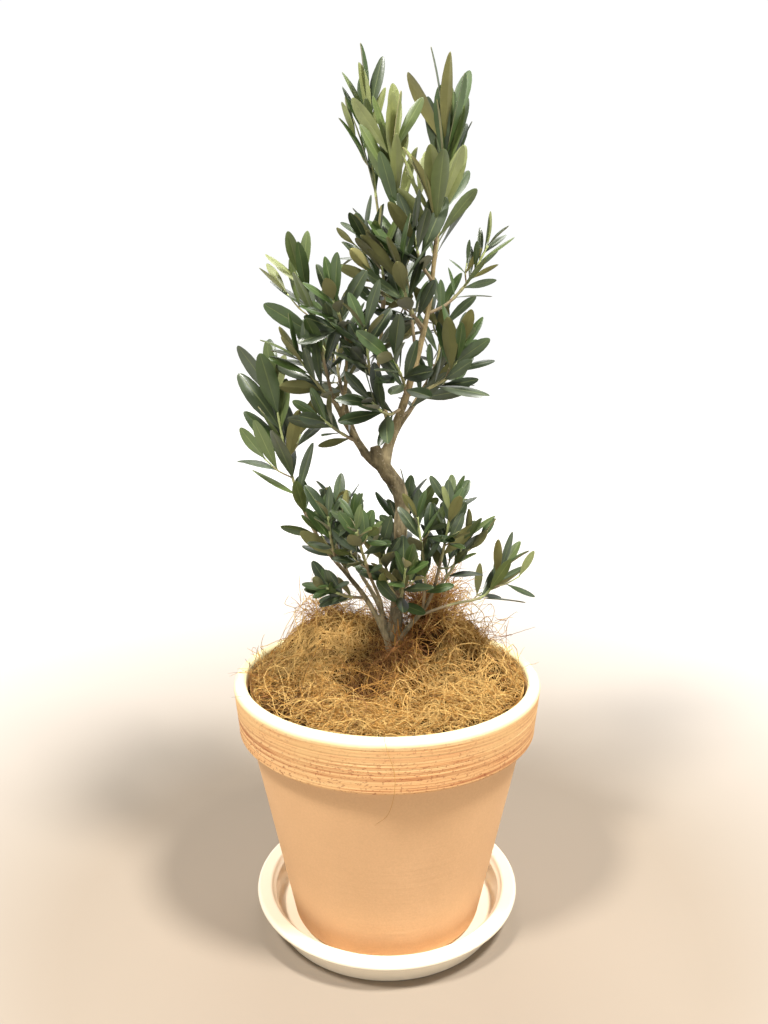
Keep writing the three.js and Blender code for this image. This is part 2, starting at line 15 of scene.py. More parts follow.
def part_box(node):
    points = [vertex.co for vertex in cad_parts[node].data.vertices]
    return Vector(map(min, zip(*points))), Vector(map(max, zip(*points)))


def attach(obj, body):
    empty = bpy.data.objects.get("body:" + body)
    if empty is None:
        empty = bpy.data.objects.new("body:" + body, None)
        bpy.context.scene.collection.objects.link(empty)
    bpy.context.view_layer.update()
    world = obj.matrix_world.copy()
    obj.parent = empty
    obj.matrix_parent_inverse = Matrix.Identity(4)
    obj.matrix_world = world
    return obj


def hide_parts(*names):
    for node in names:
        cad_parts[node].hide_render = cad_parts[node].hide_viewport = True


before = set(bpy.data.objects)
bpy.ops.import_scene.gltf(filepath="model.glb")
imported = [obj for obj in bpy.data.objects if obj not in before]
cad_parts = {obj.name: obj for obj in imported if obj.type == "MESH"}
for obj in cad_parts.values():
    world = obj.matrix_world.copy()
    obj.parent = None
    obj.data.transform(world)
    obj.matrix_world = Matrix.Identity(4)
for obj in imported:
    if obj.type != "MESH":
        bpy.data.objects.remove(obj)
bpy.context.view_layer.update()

MM = 0.001
UP = np.array([0.0, 0.0, 1.0])
RAD = math.pi / 180

# ---------------------------------------------------------------- driving sizes


def low_of(node):
    return np.array(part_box(node)[0]) / MM


def high_of(node):
    return np.array(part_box(node)[1]) / MM


POT_BOTTOM = low_of("pot")[2]
POT_TOP = high_of("pot")[2]
POT_RIM = high_of("pot")[0]
SAUCER_LIP = high_of("saucer")[0]
SAUCER_HEIGHT = high_of("saucer")[2]

NECK_HEIGHT = 150  # where the collar begins
POT_FLOOR = POT_BOTTOM + 9
DRAIN = 12.5
FOOT = 70
NECK = 99.5
COLLAR = 107
MOUTH = 101.2
SAUCER_BASE = 84.5
SAUCER_WALL = 86.5
SAUCER_SKIN = 2.5
SAUCER_SEAT = 62
MULCH_LEVEL = 182

# The mulch's mounds: centre, height over the level part, and spread.
MOUNDS = [
    (-50, 40, 28, 34),
    (-8, 50, 18, 32),
    (54, 26, 34, 21),
    (78, 6, 13, 18),
    (-60, -30, 5, 26),
    (2, 6, 22, 32),
]
HEAP = (8, 0, 6, 15)  # fibres heaped round the trunk's foot
HOLLOW = (-16, -30, -9, 11)  # a dark gap in the fibres in front of the trunk
TUFT = {"x": 31, "y": 25, "low": 188, "tip": 250, "radius": 26}

# Trunk and boughs: the points along their middle and their radii from foot to tip.
LIMBS = {
    "trunk": (
        [
            (2, 2, 160), (3, 1, 188), (5, 0, 214), (9.5, 0, 266), (9, 0, 292),
            (10.4, 0, 311), (7.5, -2, 325), (0.6, -3, 335), (-5.5, -3, 344), (-8.5, -3, 354),
        ],
        [11, 9, 6.6, 5.4, 4.8, 4.6, 4.6, 4.9, 5.6, 5.6, 3.7],
    ),
    "bough_left": ([(-4, -3, 340), (-13, -6, 347), (-27, -10, 369), (-38, -12, 391)], [3, 2.3, 1.7]),
    "bough_left_upright": ([(-30, -11, 376), (-28.5, -8, 388), (-26.5, -8, 425)], [1.5, 1.3, 1.1]),
    "bough_leader": (
        [(-3, -2, 340), (-1, 0, 348), (6, 0, 368), (15, -8, 396), (27, -10, 446), (31, -14, 488)],
        [3.7, 3.1, 2.4, 2, 1.7, 1.4],
    ),
    "bough_centre": ([(3, 0, 360), (-2.8, 8, 383), (-6.2, 10, 396), (-3, 8, 441)], [1.9, 1.6, 1.3]),
    "bough_low_left": (
        [(3, -2, 200), (-2, -12, 222), (-15, -18, 250), (-44, -24, 289)],
        [2.6, 1.9, 1.3],
    ),
    "bough_low_front": ([(-3.5, -13, 228), (-4, -20, 246), (-11.7, -32, 270)], [1.6, 1.2]),
    "bough_low_right": ([(5, -2, 206), (13, -8, 222), (28, -15, 245), (34, -18, 263)], [2.1, 1.7, 1.3]),
    "bough_back_left": ([(-15, -6.7, 349), (-25, 14, 366), (-31, 33, 384)], [2.2, 1.5]),
    "bough_back_right": ([(3.5, 0, 361), (17, 18, 378), (28, 34, 394)], [2.2, 1.5]),
    "bough_low_back_left": ([(4, 1, 212), (-7, 22, 234), (-20, 38, 252)], [2.3, 1.5]),
    "bough_low_back_right": ([(6, 1, 226), (6, 24, 244), (10, 44, 260)], [2.1, 1.5]),
}

# What the masses have in common: the angles of their lowest and last leaves, the bare share of the
# stem, how the pairs crowd towards its tip, its side twigs and finer shoots, how long the lowest and
# the last leaves are, the share that shows its underside, a leaf's width, where it is widest, how
# narrow its base is and how blunt its tip.
SPRAY = {
    "open": 54, "closed": 22, "first": 0.2, "bunch": 0.85, "shoots": 0, "fine": 1, "foot": 0.8,
    "tip": 0.8, "under": 0.12, "width": 0.28, "belly": 0.6, "base": 1.3, "blunt": 0.52,
}
UPRIGHT = {
    **SPRAY, "open": 36, "closed": 10, "bunch": 0.45, "tip": 0.95, "width": 0.21,
    "belly": 0.66, "base": 1.55, "blunt": 0.5,
}
BROAD = {**SPRAY, "width": 0.33, "belly": 0.57, "base": 1.2, "blunt": 0.5, "fine": 2}

# Each mass: its kind, the middle of its stem, its pairs, the turn of the first pair, the leaves'
# length, the seed, its age (0 for old dark leaves, 1 for new pale ones), and what differs.
MASSES = {
    "foliage_top_left": (
        UPRIGHT, [(-4.2, 8.6, 424), (-3, 14, 480), (-9, 14, 530), (-12.8, 13, 569)],
        8, 10, 45, 13, 0.5, {"first": 0.4},
    ),
    "foliage_top_centre": (
        UPRIGHT, [(19.5, -9, 411), (13, -5, 464), (7, -6, 506), (2.7, -6, 540)],
        8, 60, 50, 12, 0.7, {"under": 0.08, "first": 0.45},
    ),
    "foliage_top_right": (
        UPRIGHT, [(27.5, -10, 450), (34, 8, 494), (38, 17, 528), (38.6, 18, 553)],
        10, 40, 52, 14, 0.4, {"under": 0.05, "first": 0.3},
    ),
    "foliage_leader_tip": (
        UPRIGHT, [(31, -14, 486), (31, -16, 493), (30.6, -18, 501)],
        7, 0, 46, 15, 0.86, {"under": 0.05, "first": 0.1, "width": 0.24},
    ),
    "foliage_upper_centre": (
        SPRAY, [(-3.3, 8, 438), (-2, -6, 456), (-5, -16, 484)],
        6, 20, 34, 11, 0.38, {"first": 0.15, "shoots": 1},
    ),
    "foliage_upper_right": (
        SPRAY, [(26.5, -10, 442), (40, -5, 449), (54, -1, 464), (66, 0, 486)],
        7, 30, 25, 16, 0.5, {"first": 0.35, "width": 0.2},
    ),
    "foliage_upper_left": (
        SPRAY, [(-37, -12, 389), (-42, -12.5, 412), (-48, -13, 441), (-57, -13, 466)],
        8, 0, 40, 17, 0.52, {"closed": 28, "width": 0.25},
    ),
    "foliage_mid_left": (
        SPRAY, [(-32, -11.5, 380), (-45, -20, 396), (-57, -26, 414)],
        6, 70, 32, 18, 0.25, {"shoots": 1},
    ),
    "foliage_mid_left_inner": (
        SPRAY, [(-26.5, -8, 423), (-29, -20, 435), (-34, -32, 450)],
        6, 0, 34, 19, 0.3, {},
    ),
    "foliage_mid_left_low": (
        SPRAY, [(-20, -8, 357), (-33, -18, 366), (-44, -26, 376)],
        5, 30, 28, 36, 0.2, {"fine": 0},
    ),
    "foliage_mid_front": (
        SPRAY, [(12.5, -6, 389), (10, -28, 400), (4, -46, 414)],
        6, 45, 34, 37, 0.2, {"fine": 0},
    ),
    "foliage_mid_centre": (
        SPRAY, [(-5.2, 9.8, 390), (-11, -20, 404), (-14, -40, 432)],
        6, 45, 34, 20, 0.2, {"first": 0.4, "shoots": 1},
    ),
    "foliage_mid_right": (
        SPRAY, [(12.4, -6, 388), (30, -13, 395), (42, -17, 404), (47, -18, 420)],
        6, 0, 34, 21, 0.3, {"first": 0.4},
    ),
    "foliage_mid_right_low": (
        SPRAY, [(8, -1, 372), (22, 12, 384), (34, 20, 404)],
        5, 90, 32, 22, 0.15, {"first": 0.3, "shoots": 1},
    ),
    "foliage_left_long": (
        BROAD, [(-43.4, -24, 288), (-57, -22, 315), (-69, -17, 356), (-76, -12, 396)],
        10, 0, 42, 23, 0.5, {"first": 0.08, "open": 42, "closed": 16, "foot": 0.5, "width": 0.3},
    ),
    "foliage_low_left": (
        BROAD, [(-15, -18, 250), (-28, -26, 254), (-41, -34, 262)],
        5, 45, 23, 38, 0.25, {"first": 0.35},
    ),
    "foliage_low_front_left": (
        BROAD, [(-11.5, -31.7, 269.5), (-16, -44, 288), (-20, -56, 306)],
        6, 30, 28, 24, 0.4, {"first": 0.1, "shoots": 1},
    ),
    "foliage_low_left_inner": (
        BROAD, [(-24, -20, 262), (-34, -8, 280), (-42, 4, 302)],
        6, 80, 28, 25, 0.2, {"shoots": 1},
    ),
    "foliage_low_front": (
        BROAD, [(7, -1, 236), (10, -22, 254), (12, -42, 278)],
        6, 10, 30, 26, 0.35, {},
    ),
    "foliage_low_right_inner": (
        BROAD, [(25, -13.8, 240.5), (26, -22, 266), (20, -30, 310)],
        7, 20, 28, 27, 0.35, {},
    ),
    "foliage_low_right": (
        BROAD, [(33.5, -17.7, 261), (38, -24, 286), (42, -30, 312)],
        6, 60, 28, 28, 0.4, {"shoots": 1},
    ),
    "foliage_low_right_outer": (
        BROAD, [(31.5, -16.8, 253), (44, -14, 268), (54, -13, 291)],
        5, 10, 28, 29, 0.35, {"first": 0.35},
    ),
    "foliage_right_reach": (
        BROAD, [(21, -12, 235), (46, -10, 243), (69, -5, 248), (80, -2, 265)],
        5, 40, 34, 30, 0.35, {"first": 0.66, "width": 0.24},
    ),
    "foliage_back_left": (
        SPRAY, [(-30.7, 32, 383), (-36, 48, 404), (-36, 58, 438)],
        7, 30, 36, 31, 0.3, {"first": 0.12, "shoots": 1},
    ),
    "foliage_back_right": (
        SPRAY, [(27.5, 33.3, 393.3), (37, 48, 412), (40, 58, 446)],
        7, 10, 36, 44, 0.3, {"first": 0.12, "shoots": 1},
    ),
    "foliage_low_back_left": (
        BROAD, [(-19.5, 37.4, 251.4), (-32, 50, 270), (-38, 57, 298)],
        6, 50, 32, 33, 0.3, {"first": 0.15, "shoots": 1},
    ),
    "foliage_low_back_right": (
        BROAD, [(9.8, 43, 259.2), (14, 56, 274), (16, 64, 302)],
        6, 20, 32, 34, 0.3, {"first": 0.15, "shoots": 1},
    ),
    "foliage_upper_back": (
        SPRAY, [(23, -10, 430), (16, 24, 448), (8, 44, 484)],
        7, 40, 36, 43, 0.35, {"first": 0.3, "shoots": 1},
    ),
    "foliage_upper_front": (
        SPRAY, [(23.8, -9.5, 433), (14, -22, 446), (8, -30, 470)],
        7, 20, 38, 44, 0.3, {"shoots": 1},
    ),
    "foliage_upper_inner": (
        SPRAY, [(29, -12, 463), (21, -20, 474), (17, -24, 490)],
        5, 70, 40, 47, 0.25, {"first": 0.3, "fine": 0},
    ),
    "foliage_mid_low": (
        SPRAY, [(9.6, -3.2, 379.5), (0, -18, 377), (-10, -30, 386)],
        6, 10, 32, 48, 0.15, {"first": 0.3, "fine": 0},
    ),
    "foliage_low_left_upright": (
        BROAD, [(-34, -22, 275.5), (-37, -31, 292), (-39, -37, 312)],
        6, 30, 28, 49, 0.3, {},
    ),
    "foliage_low_centre": (
        BROAD, [(8.5, 0, 254), (1, -17, 266), (-4, -28, 288)],
        6, 60, 29, 50, 0.35, {"first": 0.3, "fine": 0},
    ),
}

# ---------------------------------------------------------------- numbers and curves


def mix(a, b, share):
    return a + (b - a) * share


def unit(v):
    return v / np.linalg.norm(v, axis=-1, keepdims=True)


def turns(count):
    """As many angles, evenly round a full turn."""
    return np.arange(count) * 2 * math.pi / count


def seeded(seed):
    """The repeatable random numbers from 0 to 1 that the masses grow by."""
    state = (seed * 7919) & 0xFFFFFFFF

    def draw():
        nonlocal state
        state = (state * 1664525 + 1013904223) & 0xFFFFFFFF
        return state / 4294967296

    draw()
    draw()
    return draw


class Path:
    """A centripetal Catmull-Rom curve through a few points, measured by its length."""

    STEPS = 200

    def __init__(self, points):
        self.knots = np.array(points, float)
        shares = np.linspace(0, 1, self.STEPS + 1)
        samples = self.at(shares)
        steps = np.linalg.norm(np.diff(samples, axis=0), axis=1)
        self.shares = shares
        self.reach = np.concatenate([[0], np.cumsum(steps)])
        self.length = self.reach[-1]

    def at(self, share):
        knots = self.knots
        last = len(knots) - 1
        place = np.clip(np.atleast_1d(share), 0, 1) * last
        k = np.minimum(place.astype(int), last - 1)
        w = (place - k)[:, None]
        padded = np.vstack([2 * knots[0] - knots[1], knots, 2 * knots[-1] - knots[-2]])
        p0, p1, p2, p3 = (padded[k + i] for i in range(4))
        gaps = (p1 - p0, p2 - p1, p3 - p2)
        d0, d1, d2 = (np.linalg.norm(gap, axis=1)[:, None] ** 0.5 for gap in gaps)
        t1 = ((p1 - p0) / d0 - (p2 - p0) / (d0 + d1) + (p2 - p1) / d1) * d1
        t2 = ((p2 - p1) / d1 - (p3 - p1) / (d1 + d2) + (p3 - p2) / d2) * d1
        return p1 + t1 * w + (3 * (p2 - p1) - 2 * t1 - t2) * w**2 + (2 * (p1 - p2) + t1 + t2) * w**3

    def share(self, along):
        return np.interp(np.atleast_1d(along) * self.length, self.reach, self.shares)

    def points(self, along):
        return self.at(self.share(along))

    def tangents(self, along):
        share = self.share(along)
        return unit(self.at(share + 1e-4) - self.at(share - 1e-4))

    def point(self, along):
        return self.points(along)[0]

    def tangent(self, along):
        return self.tangents(along)[0]


def frames_along(tangents):
    """Two directions square to each tangent, turning as little as can be from one to the next."""
    side = np.cross(tangents[0], [0.31, 0.95, 0.05])
    sides = []
    for tangent in tangents:
        side = side - tangent * np.dot(side, tangent)
        side = side / np.linalg.norm(side)
        sides.append(side)
    sides = np.array(sides)
    return sides, np.cross(tangents, sides)


def perlin(points, scale, shift=0.0):
    """Smooth noise from about -1 to 1 at each point."""
    return np.array([noise.noise(Vector(p)) for p in points * scale + shift])


# ---------------------------------------------------------------- meshes


class Shell:
    """Vertices and faces gathered from many small pieces, each face with its material's number."""

    def __init__(self):
        self.points = []
        self.loops = []
        self.sizes = []
        self.finishes = []
        self.creases = []
        self.count = 0

    def add(self, points, groups, finishes=(0, 0, 0), crease=None):
        """Adds groups of faces that have as many corners each, and a finish for a group or a face."""
        points = np.reshape(points, (-1, 3))
        self.points.append(points)
        self.creases.append(np.zeros(len(points), bool) if crease is None else crease)
        for faces, numbers in zip(groups, finishes):
            self.loops.append((faces + self.count).ravel())
            self.sizes.append(np.full(len(faces), faces.shape[1]))
            self.finishes.append(np.broadcast_to(numbers, len(faces)))
        self.count += len(points)

    def make(self, name, materials):
        """Makes one smooth mesh of everything added, with its creases sharp."""
        points = np.concatenate(self.points) * MM
        loops = np.concatenate(self.loops)
        sizes = np.concatenate(self.sizes)
        mesh = bpy.data.meshes.new(name)
        mesh.vertices.add(len(points))
        mesh.vertices.foreach_set("co", points.astype(np.float32).ravel())
        mesh.loops.add(len(loops))
        mesh.loops.foreach_set("vertex_index", loops.astype(np.int32))
        mesh.polygons.add(len(sizes))
        starts = np.concatenate([[0], np.cumsum(sizes)[:-1]])
        mesh.polygons.foreach_set("loop_start", starts.astype(np.int32))
        mesh.polygons.foreach_set("use_smooth", np.ones(len(sizes), bool))
        for material in materials:
            mesh.materials.append(material)
        mesh.polygons.foreach_set("material_index", np.concatenate(self.finishes).astype(np.int32))
        mesh.update(calc_edges=True)
        crease = np.concatenate(self.creases)
        if crease.any():
            ends = np.empty(len(mesh.edges) * 2, np.int32)
            mesh.edges.foreach_get("vertices", ends)
            sharp = crease[ends.reshape(-1, 2)].all(axis=1)
            mesh.attributes.new("sharp_edge", "BOOLEAN", "EDGE").data.foreach_set("value", sharp)
        mesh.validate()
        piece = bpy.data.objects.new(name, mesh)
        bpy.context.scene.collection.objects.link(piece)
        return piece


def ring_faces(rings, sides):
    """The quads between rings of as many points each."""
    grid = np.meshgrid(np.arange(rings - 1), np.arange(sides), indexing="ij")
    ring, side = grid[0].ravel(), grid[1].ravel()
    near = ring * sides + side
    far = ring * sides + (side + 1) % sides
    return np.stack([near, far, far + sides, near + sides], axis=1)


def closed_faces(rings, sides):
    """The quads between rings, and from the last ring back to the first."""
    return ring_faces(rings + 1, sides) % (rings * sides)


def spokes(side, deep, count):
    """Directions evenly round each point of a path, from the two that are square to it there."""
    turn = turns(count)[:, None]
    return side[..., None, :] * np.cos(turn) + deep[..., None, :] * np.sin(turn)


def tube(path, radii, sides, pitch, start=0.0):
    """Rings along a path, closed at both ends: points, faces, and how far along each face lies."""
    rings = max(3, int(round(path.length * (1 - start) / pitch)) + 1)
    along = np.linspace(start, 1, rings)
    side, deep = frames_along(path.tangents(along))
    radius = np.interp(along, np.linspace(0, 1, len(radii)), radii)
    points = path.points(along)[:, None] + spokes(side, deep, sides) * radius[:, None, None]
    quads = ring_faces(rings, sides)
    lids = np.array([np.arange(sides)[::-1], np.arange(sides) + (rings - 1) * sides])
    shares = np.repeat(along[:-1], sides)
    return points.reshape(-1, 3), quads, lids, shares


def fan(centre, ring):
    """Triangles from a centre to the ring of points round it."""
    return np.stack([np.full(len(ring), centre), ring, np.roll(ring, -1)], axis=1)


def turned(profile, segments):
    """A closed profile of [radius, height] points turned about the Z axis, as a grid of points."""
    around = turns(segments)
    profile = np.asarray(profile, float)
    radius, height = profile[:, 0][:, None], profile[:, 1][:, None]
    return np.stack([radius * np.cos(around), radius * np.sin(around), height + 0 * around], axis=2)


def arc(centre_r, centre_z, radius_r, radius_z, start, end, steps):
    """Points of a part of an ellipse in the profile plane, from one angle to another in degrees."""
    angles = np.linspace(start, end, steps + 1) * RAD
    return [(centre_r + radius_r * math.cos(a), centre_z + radius_z * math.sin(a)) for a in angles]


# ---------------------------------------------------------------- materials


class Finish:
    """A material's node tree, with a short way to add a node and to link it."""

    def __init__(self, name, roughness, **sockets):
        self.material = bpy.data.materials.new(name)
        self.material.use_nodes = True
        self.tree = self.material.node_tree
        self.shader = self.tree.nodes["Principled BSDF"]
        self.shader.inputs["Roughness"].default_value = roughness
        for socket, value in sockets.items():
            title = socket.replace("_", " ").title().replace("Ior", "IOR")
            self.shader.inputs[title].default_value = value
        self.place = self.tree.nodes.new("ShaderNodeTexCoord").outputs["Object"]

    def node(self, kind, links=None, **settings):
        made = self.tree.nodes.new("ShaderNode" + kind)
        for key, value in settings.items():
            setattr(made, key, value)
        for socket, value in (links or {}).items():
            if isinstance(value, bpy.types.NodeSocket):
                self.tree.links.new(value, made.inputs[socket])
            else:
                made.inputs[socket].default_value = value
        return made

    def height(self):
        return self.node("SeparateXYZ", {"Vector": self.place}).outputs["Z"]

    def stretched(self, x, y, z):
        return self.node("Mapping", {"Vector": self.place, "Scale": (x, y, z)}).outputs["Vector"]

    def noise(self, scale, detail=3.0, roughness=0.55, place=None):
        links = {"Vector": place or self.place, "Scale": scale, "Detail": detail, "Roughness": roughness}
        return self.node("TexNoise", links).outputs["Fac"]

    def steps(self, factor, *stops):
        """A colour ramp from pairs of a place and a colour, or a brightness."""
        made = self.node("ValToRGB", {"Fac": factor})
        ramp = made.color_ramp
        while len(ramp.elements) < len(stops):
            ramp.elements.new(0.5)
        for element, (place, colour) in zip(ramp.elements, stops):
            element.position = place
            shade = colour if isinstance(colour, tuple) else (colour,) * 3
            element.color = (*shade, 1)
        return made.outputs["Color"]

    def blend(self, factor, a, b, mode="MIX"):
        made = self.node("Mix", data_type="RGBA", blend_type=mode)
        for socket, value in zip((made.inputs[0], made.inputs[6], made.inputs[7]), (factor, a, b)):
            if isinstance(value, bpy.types.NodeSocket):
                self.tree.links.new(value, socket)
            else:
                socket.default_value = (*value, 1) if isinstance(value, tuple) else value
        return made.outputs[2]

    def math(self, operation, a, b):
        return self.node("Math", {0: a, 1: b}, operation=operation).outputs[0]

    def colour(self, value):
        self.tree.links.new(value, self.shader.inputs["Base Color"])

    def bump(self, height, depth, strength=1.0):
        """Raises the surface by up to `depth` millimetres."""
        made = self.node("Bump", {"Height": height, "Distance": depth * MM, "Strength": strength})
        for link in list(self.shader.inputs["Normal"].links):
            self.tree.links.new(link.from_socket, made.inputs["Normal"])
        self.tree.links.new(made.outputs["Normal"], self.shader.inputs["Normal"])


def times(colour, factor):
    return tuple(min(1.0, c * factor) for c in colour)


def mottled(name, base, roughness, scale, spread=0.15, bump_scale=None, bump_depth=0.1, **sockets):
    """A plain colour that drifts a little lighter and darker, with a fine grain."""
    finish = Finish(name, roughness, **sockets)
    drift = finish.noise(scale)
    finish.colour(finish.steps(drift, (0.3, times(base, 1 - spread)), (0.7, times(base, 1 + spread))))
    if bump_scale:
        finish.bump(finish.noise(bump_scale, 2), bump_depth)
    return finish.material


def clay():
    finish = Finish("terracotta", 0.85, specular_ior_level=0.25)
    height = finish.height()
    broad = finish.noise(9, 4, 0.6)
    tones = ((0.3, (0.69, 0.42, 0.215)), (0.55, (0.73, 0.45, 0.235)), (0.75, (0.78, 0.49, 0.26)))
    grain = finish.steps(finish.noise(700, 2), (0.35, 0.9), (0.65, 1.0))
    body = finish.blend(0.5, finish.steps(broad, *tones), grain, "MULTIPLY")
    # Painted shade: the body darkens up towards the collar, standing in for the collar's shadow on it.
    painted_shade_under_collar = finish.steps(height, (0.01, 1.0), (0.125, 0.94), (0.15, 0.8))
    body = finish.blend(1.0, body, painted_shade_under_collar, "MULTIPLY")
    # The collar is combed: lines that run round it, some redder, with dark specks torn out of them.
    pale = finish.steps(broad, (0.3, (0.64, 0.395, 0.17)), (0.7, (0.71, 0.455, 0.21)))
    lines = finish.noise(1, 4, 0.75, finish.stretched(6, 6, 820))
    shades = ((0.4, (0.31, 0.08, 0.027)), (0.485, (0.61, 0.29, 0.11)), (0.61, (0.77, 0.51, 0.25)))
    patch = finish.noise(11, 3, 0.6, finish.stretched(1, 1, 2.4))
    low = finish.steps(height, ((NECK_HEIGHT + 14) * MM, 1.0), ((NECK_HEIGHT + 28) * MM, 0.55))
    share = finish.math("MULTIPLY", finish.steps(patch, (0.34, 0.2), (0.6, 1.0)), low)
    collar = finish.blend(share, pale, finish.steps(lines, *shades))
    grit = finish.noise(430, 3, 0.6, finish.stretched(1, 1, 1.5))
    specks = finish.steps(grit, (0.565, 0.0), (0.63, 1.0))
    torn = finish.math("MULTIPLY", specks, share)
    collar = finish.blend(finish.math("MULTIPLY", torn, 0.85), collar, (0.25, 0.075, 0.03))
    on_collar = finish.steps(height, ((NECK_HEIGHT + 0.5) * MM, 0.0), ((NECK_HEIGHT + 2) * MM, 1.0))
    # A cream band round the lip's top: partly its pale lip, partly a painted highlight where the light
    # falls on the top.
    wavy = finish.math("ADD", height, finish.math("MULTIPLY", finish.noise(40, 3), 2.4 * MM))
    pale_lip_and_highlight = finish.steps(wavy, ((POT_TOP - 2.4) * MM, 0.0), ((POT_TOP - 0.9) * MM, 1.0))
    colour = finish.blend(on_collar, body, collar)
    finish.colour(finish.blend(finish.math("MULTIPLY", pale_lip_and_highlight, 0.92), colour, (0.87, 0.83, 0.5)))
    finish.bump(finish.noise(260, 4, 0.65), 0.25, 0.5)
    finish.bump(finish.noise(1, 3, 0.6, finish.stretched(5, 5, 420)), 0.3, 0.5)
    return finish.material


def bark():
    finish = Finish("bark", 0.82, specular_ior_level=0.25)
    broad = finish.noise(28, 4, 0.65)
    browns = ((0.32, (0.05, 0.036, 0.018)), (0.5, (0.13, 0.1, 0.05)), (0.7, (0.34, 0.28, 0.16)))
    base = finish.steps(broad, *browns)
    grain = finish.noise(240, 4, 0.7, finish.stretched(1, 1, 0.22))
    streaks = finish.steps(grain, (0.36, 0.4), (0.6, 1.2))
    dots = finish.steps(finish.noise(620, 1), (0.66, 0.0), (0.74, 1.0))
    height = finish.height()
    # Paler towards the trunk's foot: partly its own paler bark, partly painted light against the shade
    # of the fibres and leaves about it.
    foot = finish.steps(height, (0.2, 0.55), (0.27, 0.0))
    base = finish.blend(foot, base, (0.36, 0.32, 0.2))
    young = finish.steps(height, (0.35, 0.0), (0.42, 0.6))
    base = finish.blend(young, base, (0.42, 0.32, 0.15))
    colour = finish.blend(0.85, base, streaks, "MULTIPLY")
    finish.colour(finish.blend(finish.math("MULTIPLY", dots, 0.4), colour, (0.42, 0.37, 0.26)))
    finish.bump(finish.noise(420, 5, 0.7, finish.stretched(1, 1, 0.3)), 0.35, 0.8)
    return finish.material


def plastic():
    finish = Finish("saucer_plastic", 0.24, specular_ior_level=0.55, coat_weight=0.15)
    cast = finish.noise(6, 2)
    # The off-white plastic is tinted cream as painted warm bounce light.
    finish.colour(finish.steps(cast, (0.3, (0.89, 0.79, 0.61)), (0.7, (0.93, 0.83, 0.655))))
    finish.bump(finish.noise(60, 2), 0.1, 0.25)
    return finish.material


def painted_shade_fibre_bed():
    finish = Finish("painted_shade_fibre_bed", 0.95, specular_ior_level=0.1)
    fluff = finish.noise(210, 5, 0.75)
    # Far darker than the loose fibres that lie on it: painted shade in the gaps between them.
    tones = ((0.34, (0.012, 0.0055, 0.002)), (0.52, (0.048, 0.023, 0.007)), (0.72, (0.14, 0.074, 0.022)))
    finish.colour(finish.steps(fluff, *tones))
    finish.bump(finish.noise(380, 5, 0.75), 1.6)
    return finish.material


def leaf_finishes(name, upper, under, gloss):
    """The upper side, the midrib and the felted underside of one tint of leaf."""
    rib = tuple(mix(c, r, 0.22) for c, r in zip(upper, (0.36, 0.4, 0.17)))
    waxy = {"specular_ior_level": 0.5, "coat_weight": 0.1, "coat_roughness": 0.25}
    felted = {"specular_ior_level": 0.2, "sheen_weight": 0.12}
    return [
        mottled(name + "_upper", upper, gloss, 70, 0.2, 420, 0.06, **waxy),
        mottled(name + "_rib", rib, 0.5, 70, specular_ior_level=0.3),
        mottled(name + "_under", under, 0.75, 60, 0.15, 700, 0.05, **felted),
    ]


# From old leaves to new ones: the upper side's colour, the underside's, and the upper side's roughness.
TINTS = {
    "leaf_darkest": ((0.015, 0.026, 0.008), (0.065, 0.067, 0.02), 0.36),
    "leaf_dark": ((0.023, 0.039, 0.012), (0.086, 0.086, 0.026), 0.38),
    "leaf_grey": ((0.044, 0.061, 0.028), (0.113, 0.112, 0.039), 0.34),
    "leaf_green": ((0.041, 0.071, 0.016), (0.131, 0.127, 0.039), 0.42),
    "leaf_new": ((0.075, 0.105, 0.025), (0.174, 0.164, 0.055), 0.46),
    "leaf_pale": ((0.172, 0.194, 0.064), (0.286, 0.264, 0.098), 0.5),
}

# ---------------------------------------------------------------- pot, saucer, soil

POT_SEGMENTS = 176
SAUCER_SEGMENTS = 144


def insides(height):
    """The pot's inner radius at a height."""
    throat = NECK - 8.5
    if height < NECK_HEIGHT:
        return mix(FOOT - 7.5, throat, (height - POT_FLOOR) / (NECK_HEIGHT - POT_FLOOR))
    return mix(throat, MOUTH, (height - NECK_HEIGHT) / (POT_TOP - 3.5 - NECK_HEIGHT))


COMB_LOW = NECK_HEIGHT + 5
COMB_HIGH = POT_TOP - 4.5
COMB_ROWS = 66
COMB_LINES = 17


def scored(grid):
    """Cuts the combed lines of uneven depth round the collar into the pot's grid of points."""
    draw = np.random.default_rng(5)
    around = turns(POT_SEGMENTS)
    heights = grid[:, 0, 2]
    on_collar = (heights > NECK_HEIGHT + 2) & (heights < COMB_HIGH + 1) & (grid[:, 0, 0] > COLLAR - 3)
    cut = np.zeros(grid.shape[:2])
    for place in np.sort(draw.uniform(COMB_LOW - 2, COMB_HIGH - 2, COMB_LINES)):
        waves, phase = draw.integers(1, 4), draw.uniform(0, 2 * math.pi)
        centre = place + 0.35 * np.sin(around * waves + phase)
        uneven = 0.55 + 0.45 * np.sin(around * (waves + 2) + 2.3 * phase)
        depth = draw.uniform(0.08, 0.32) * uneven
        cut += np.exp(-(((heights[:, None] - centre) / 0.34) ** 2)) * depth
    cut[~on_collar] = 0
    grid[..., :2] *= (1 - cut / np.linalg.norm(grid[..., :2], axis=2))[..., None]
    return grid


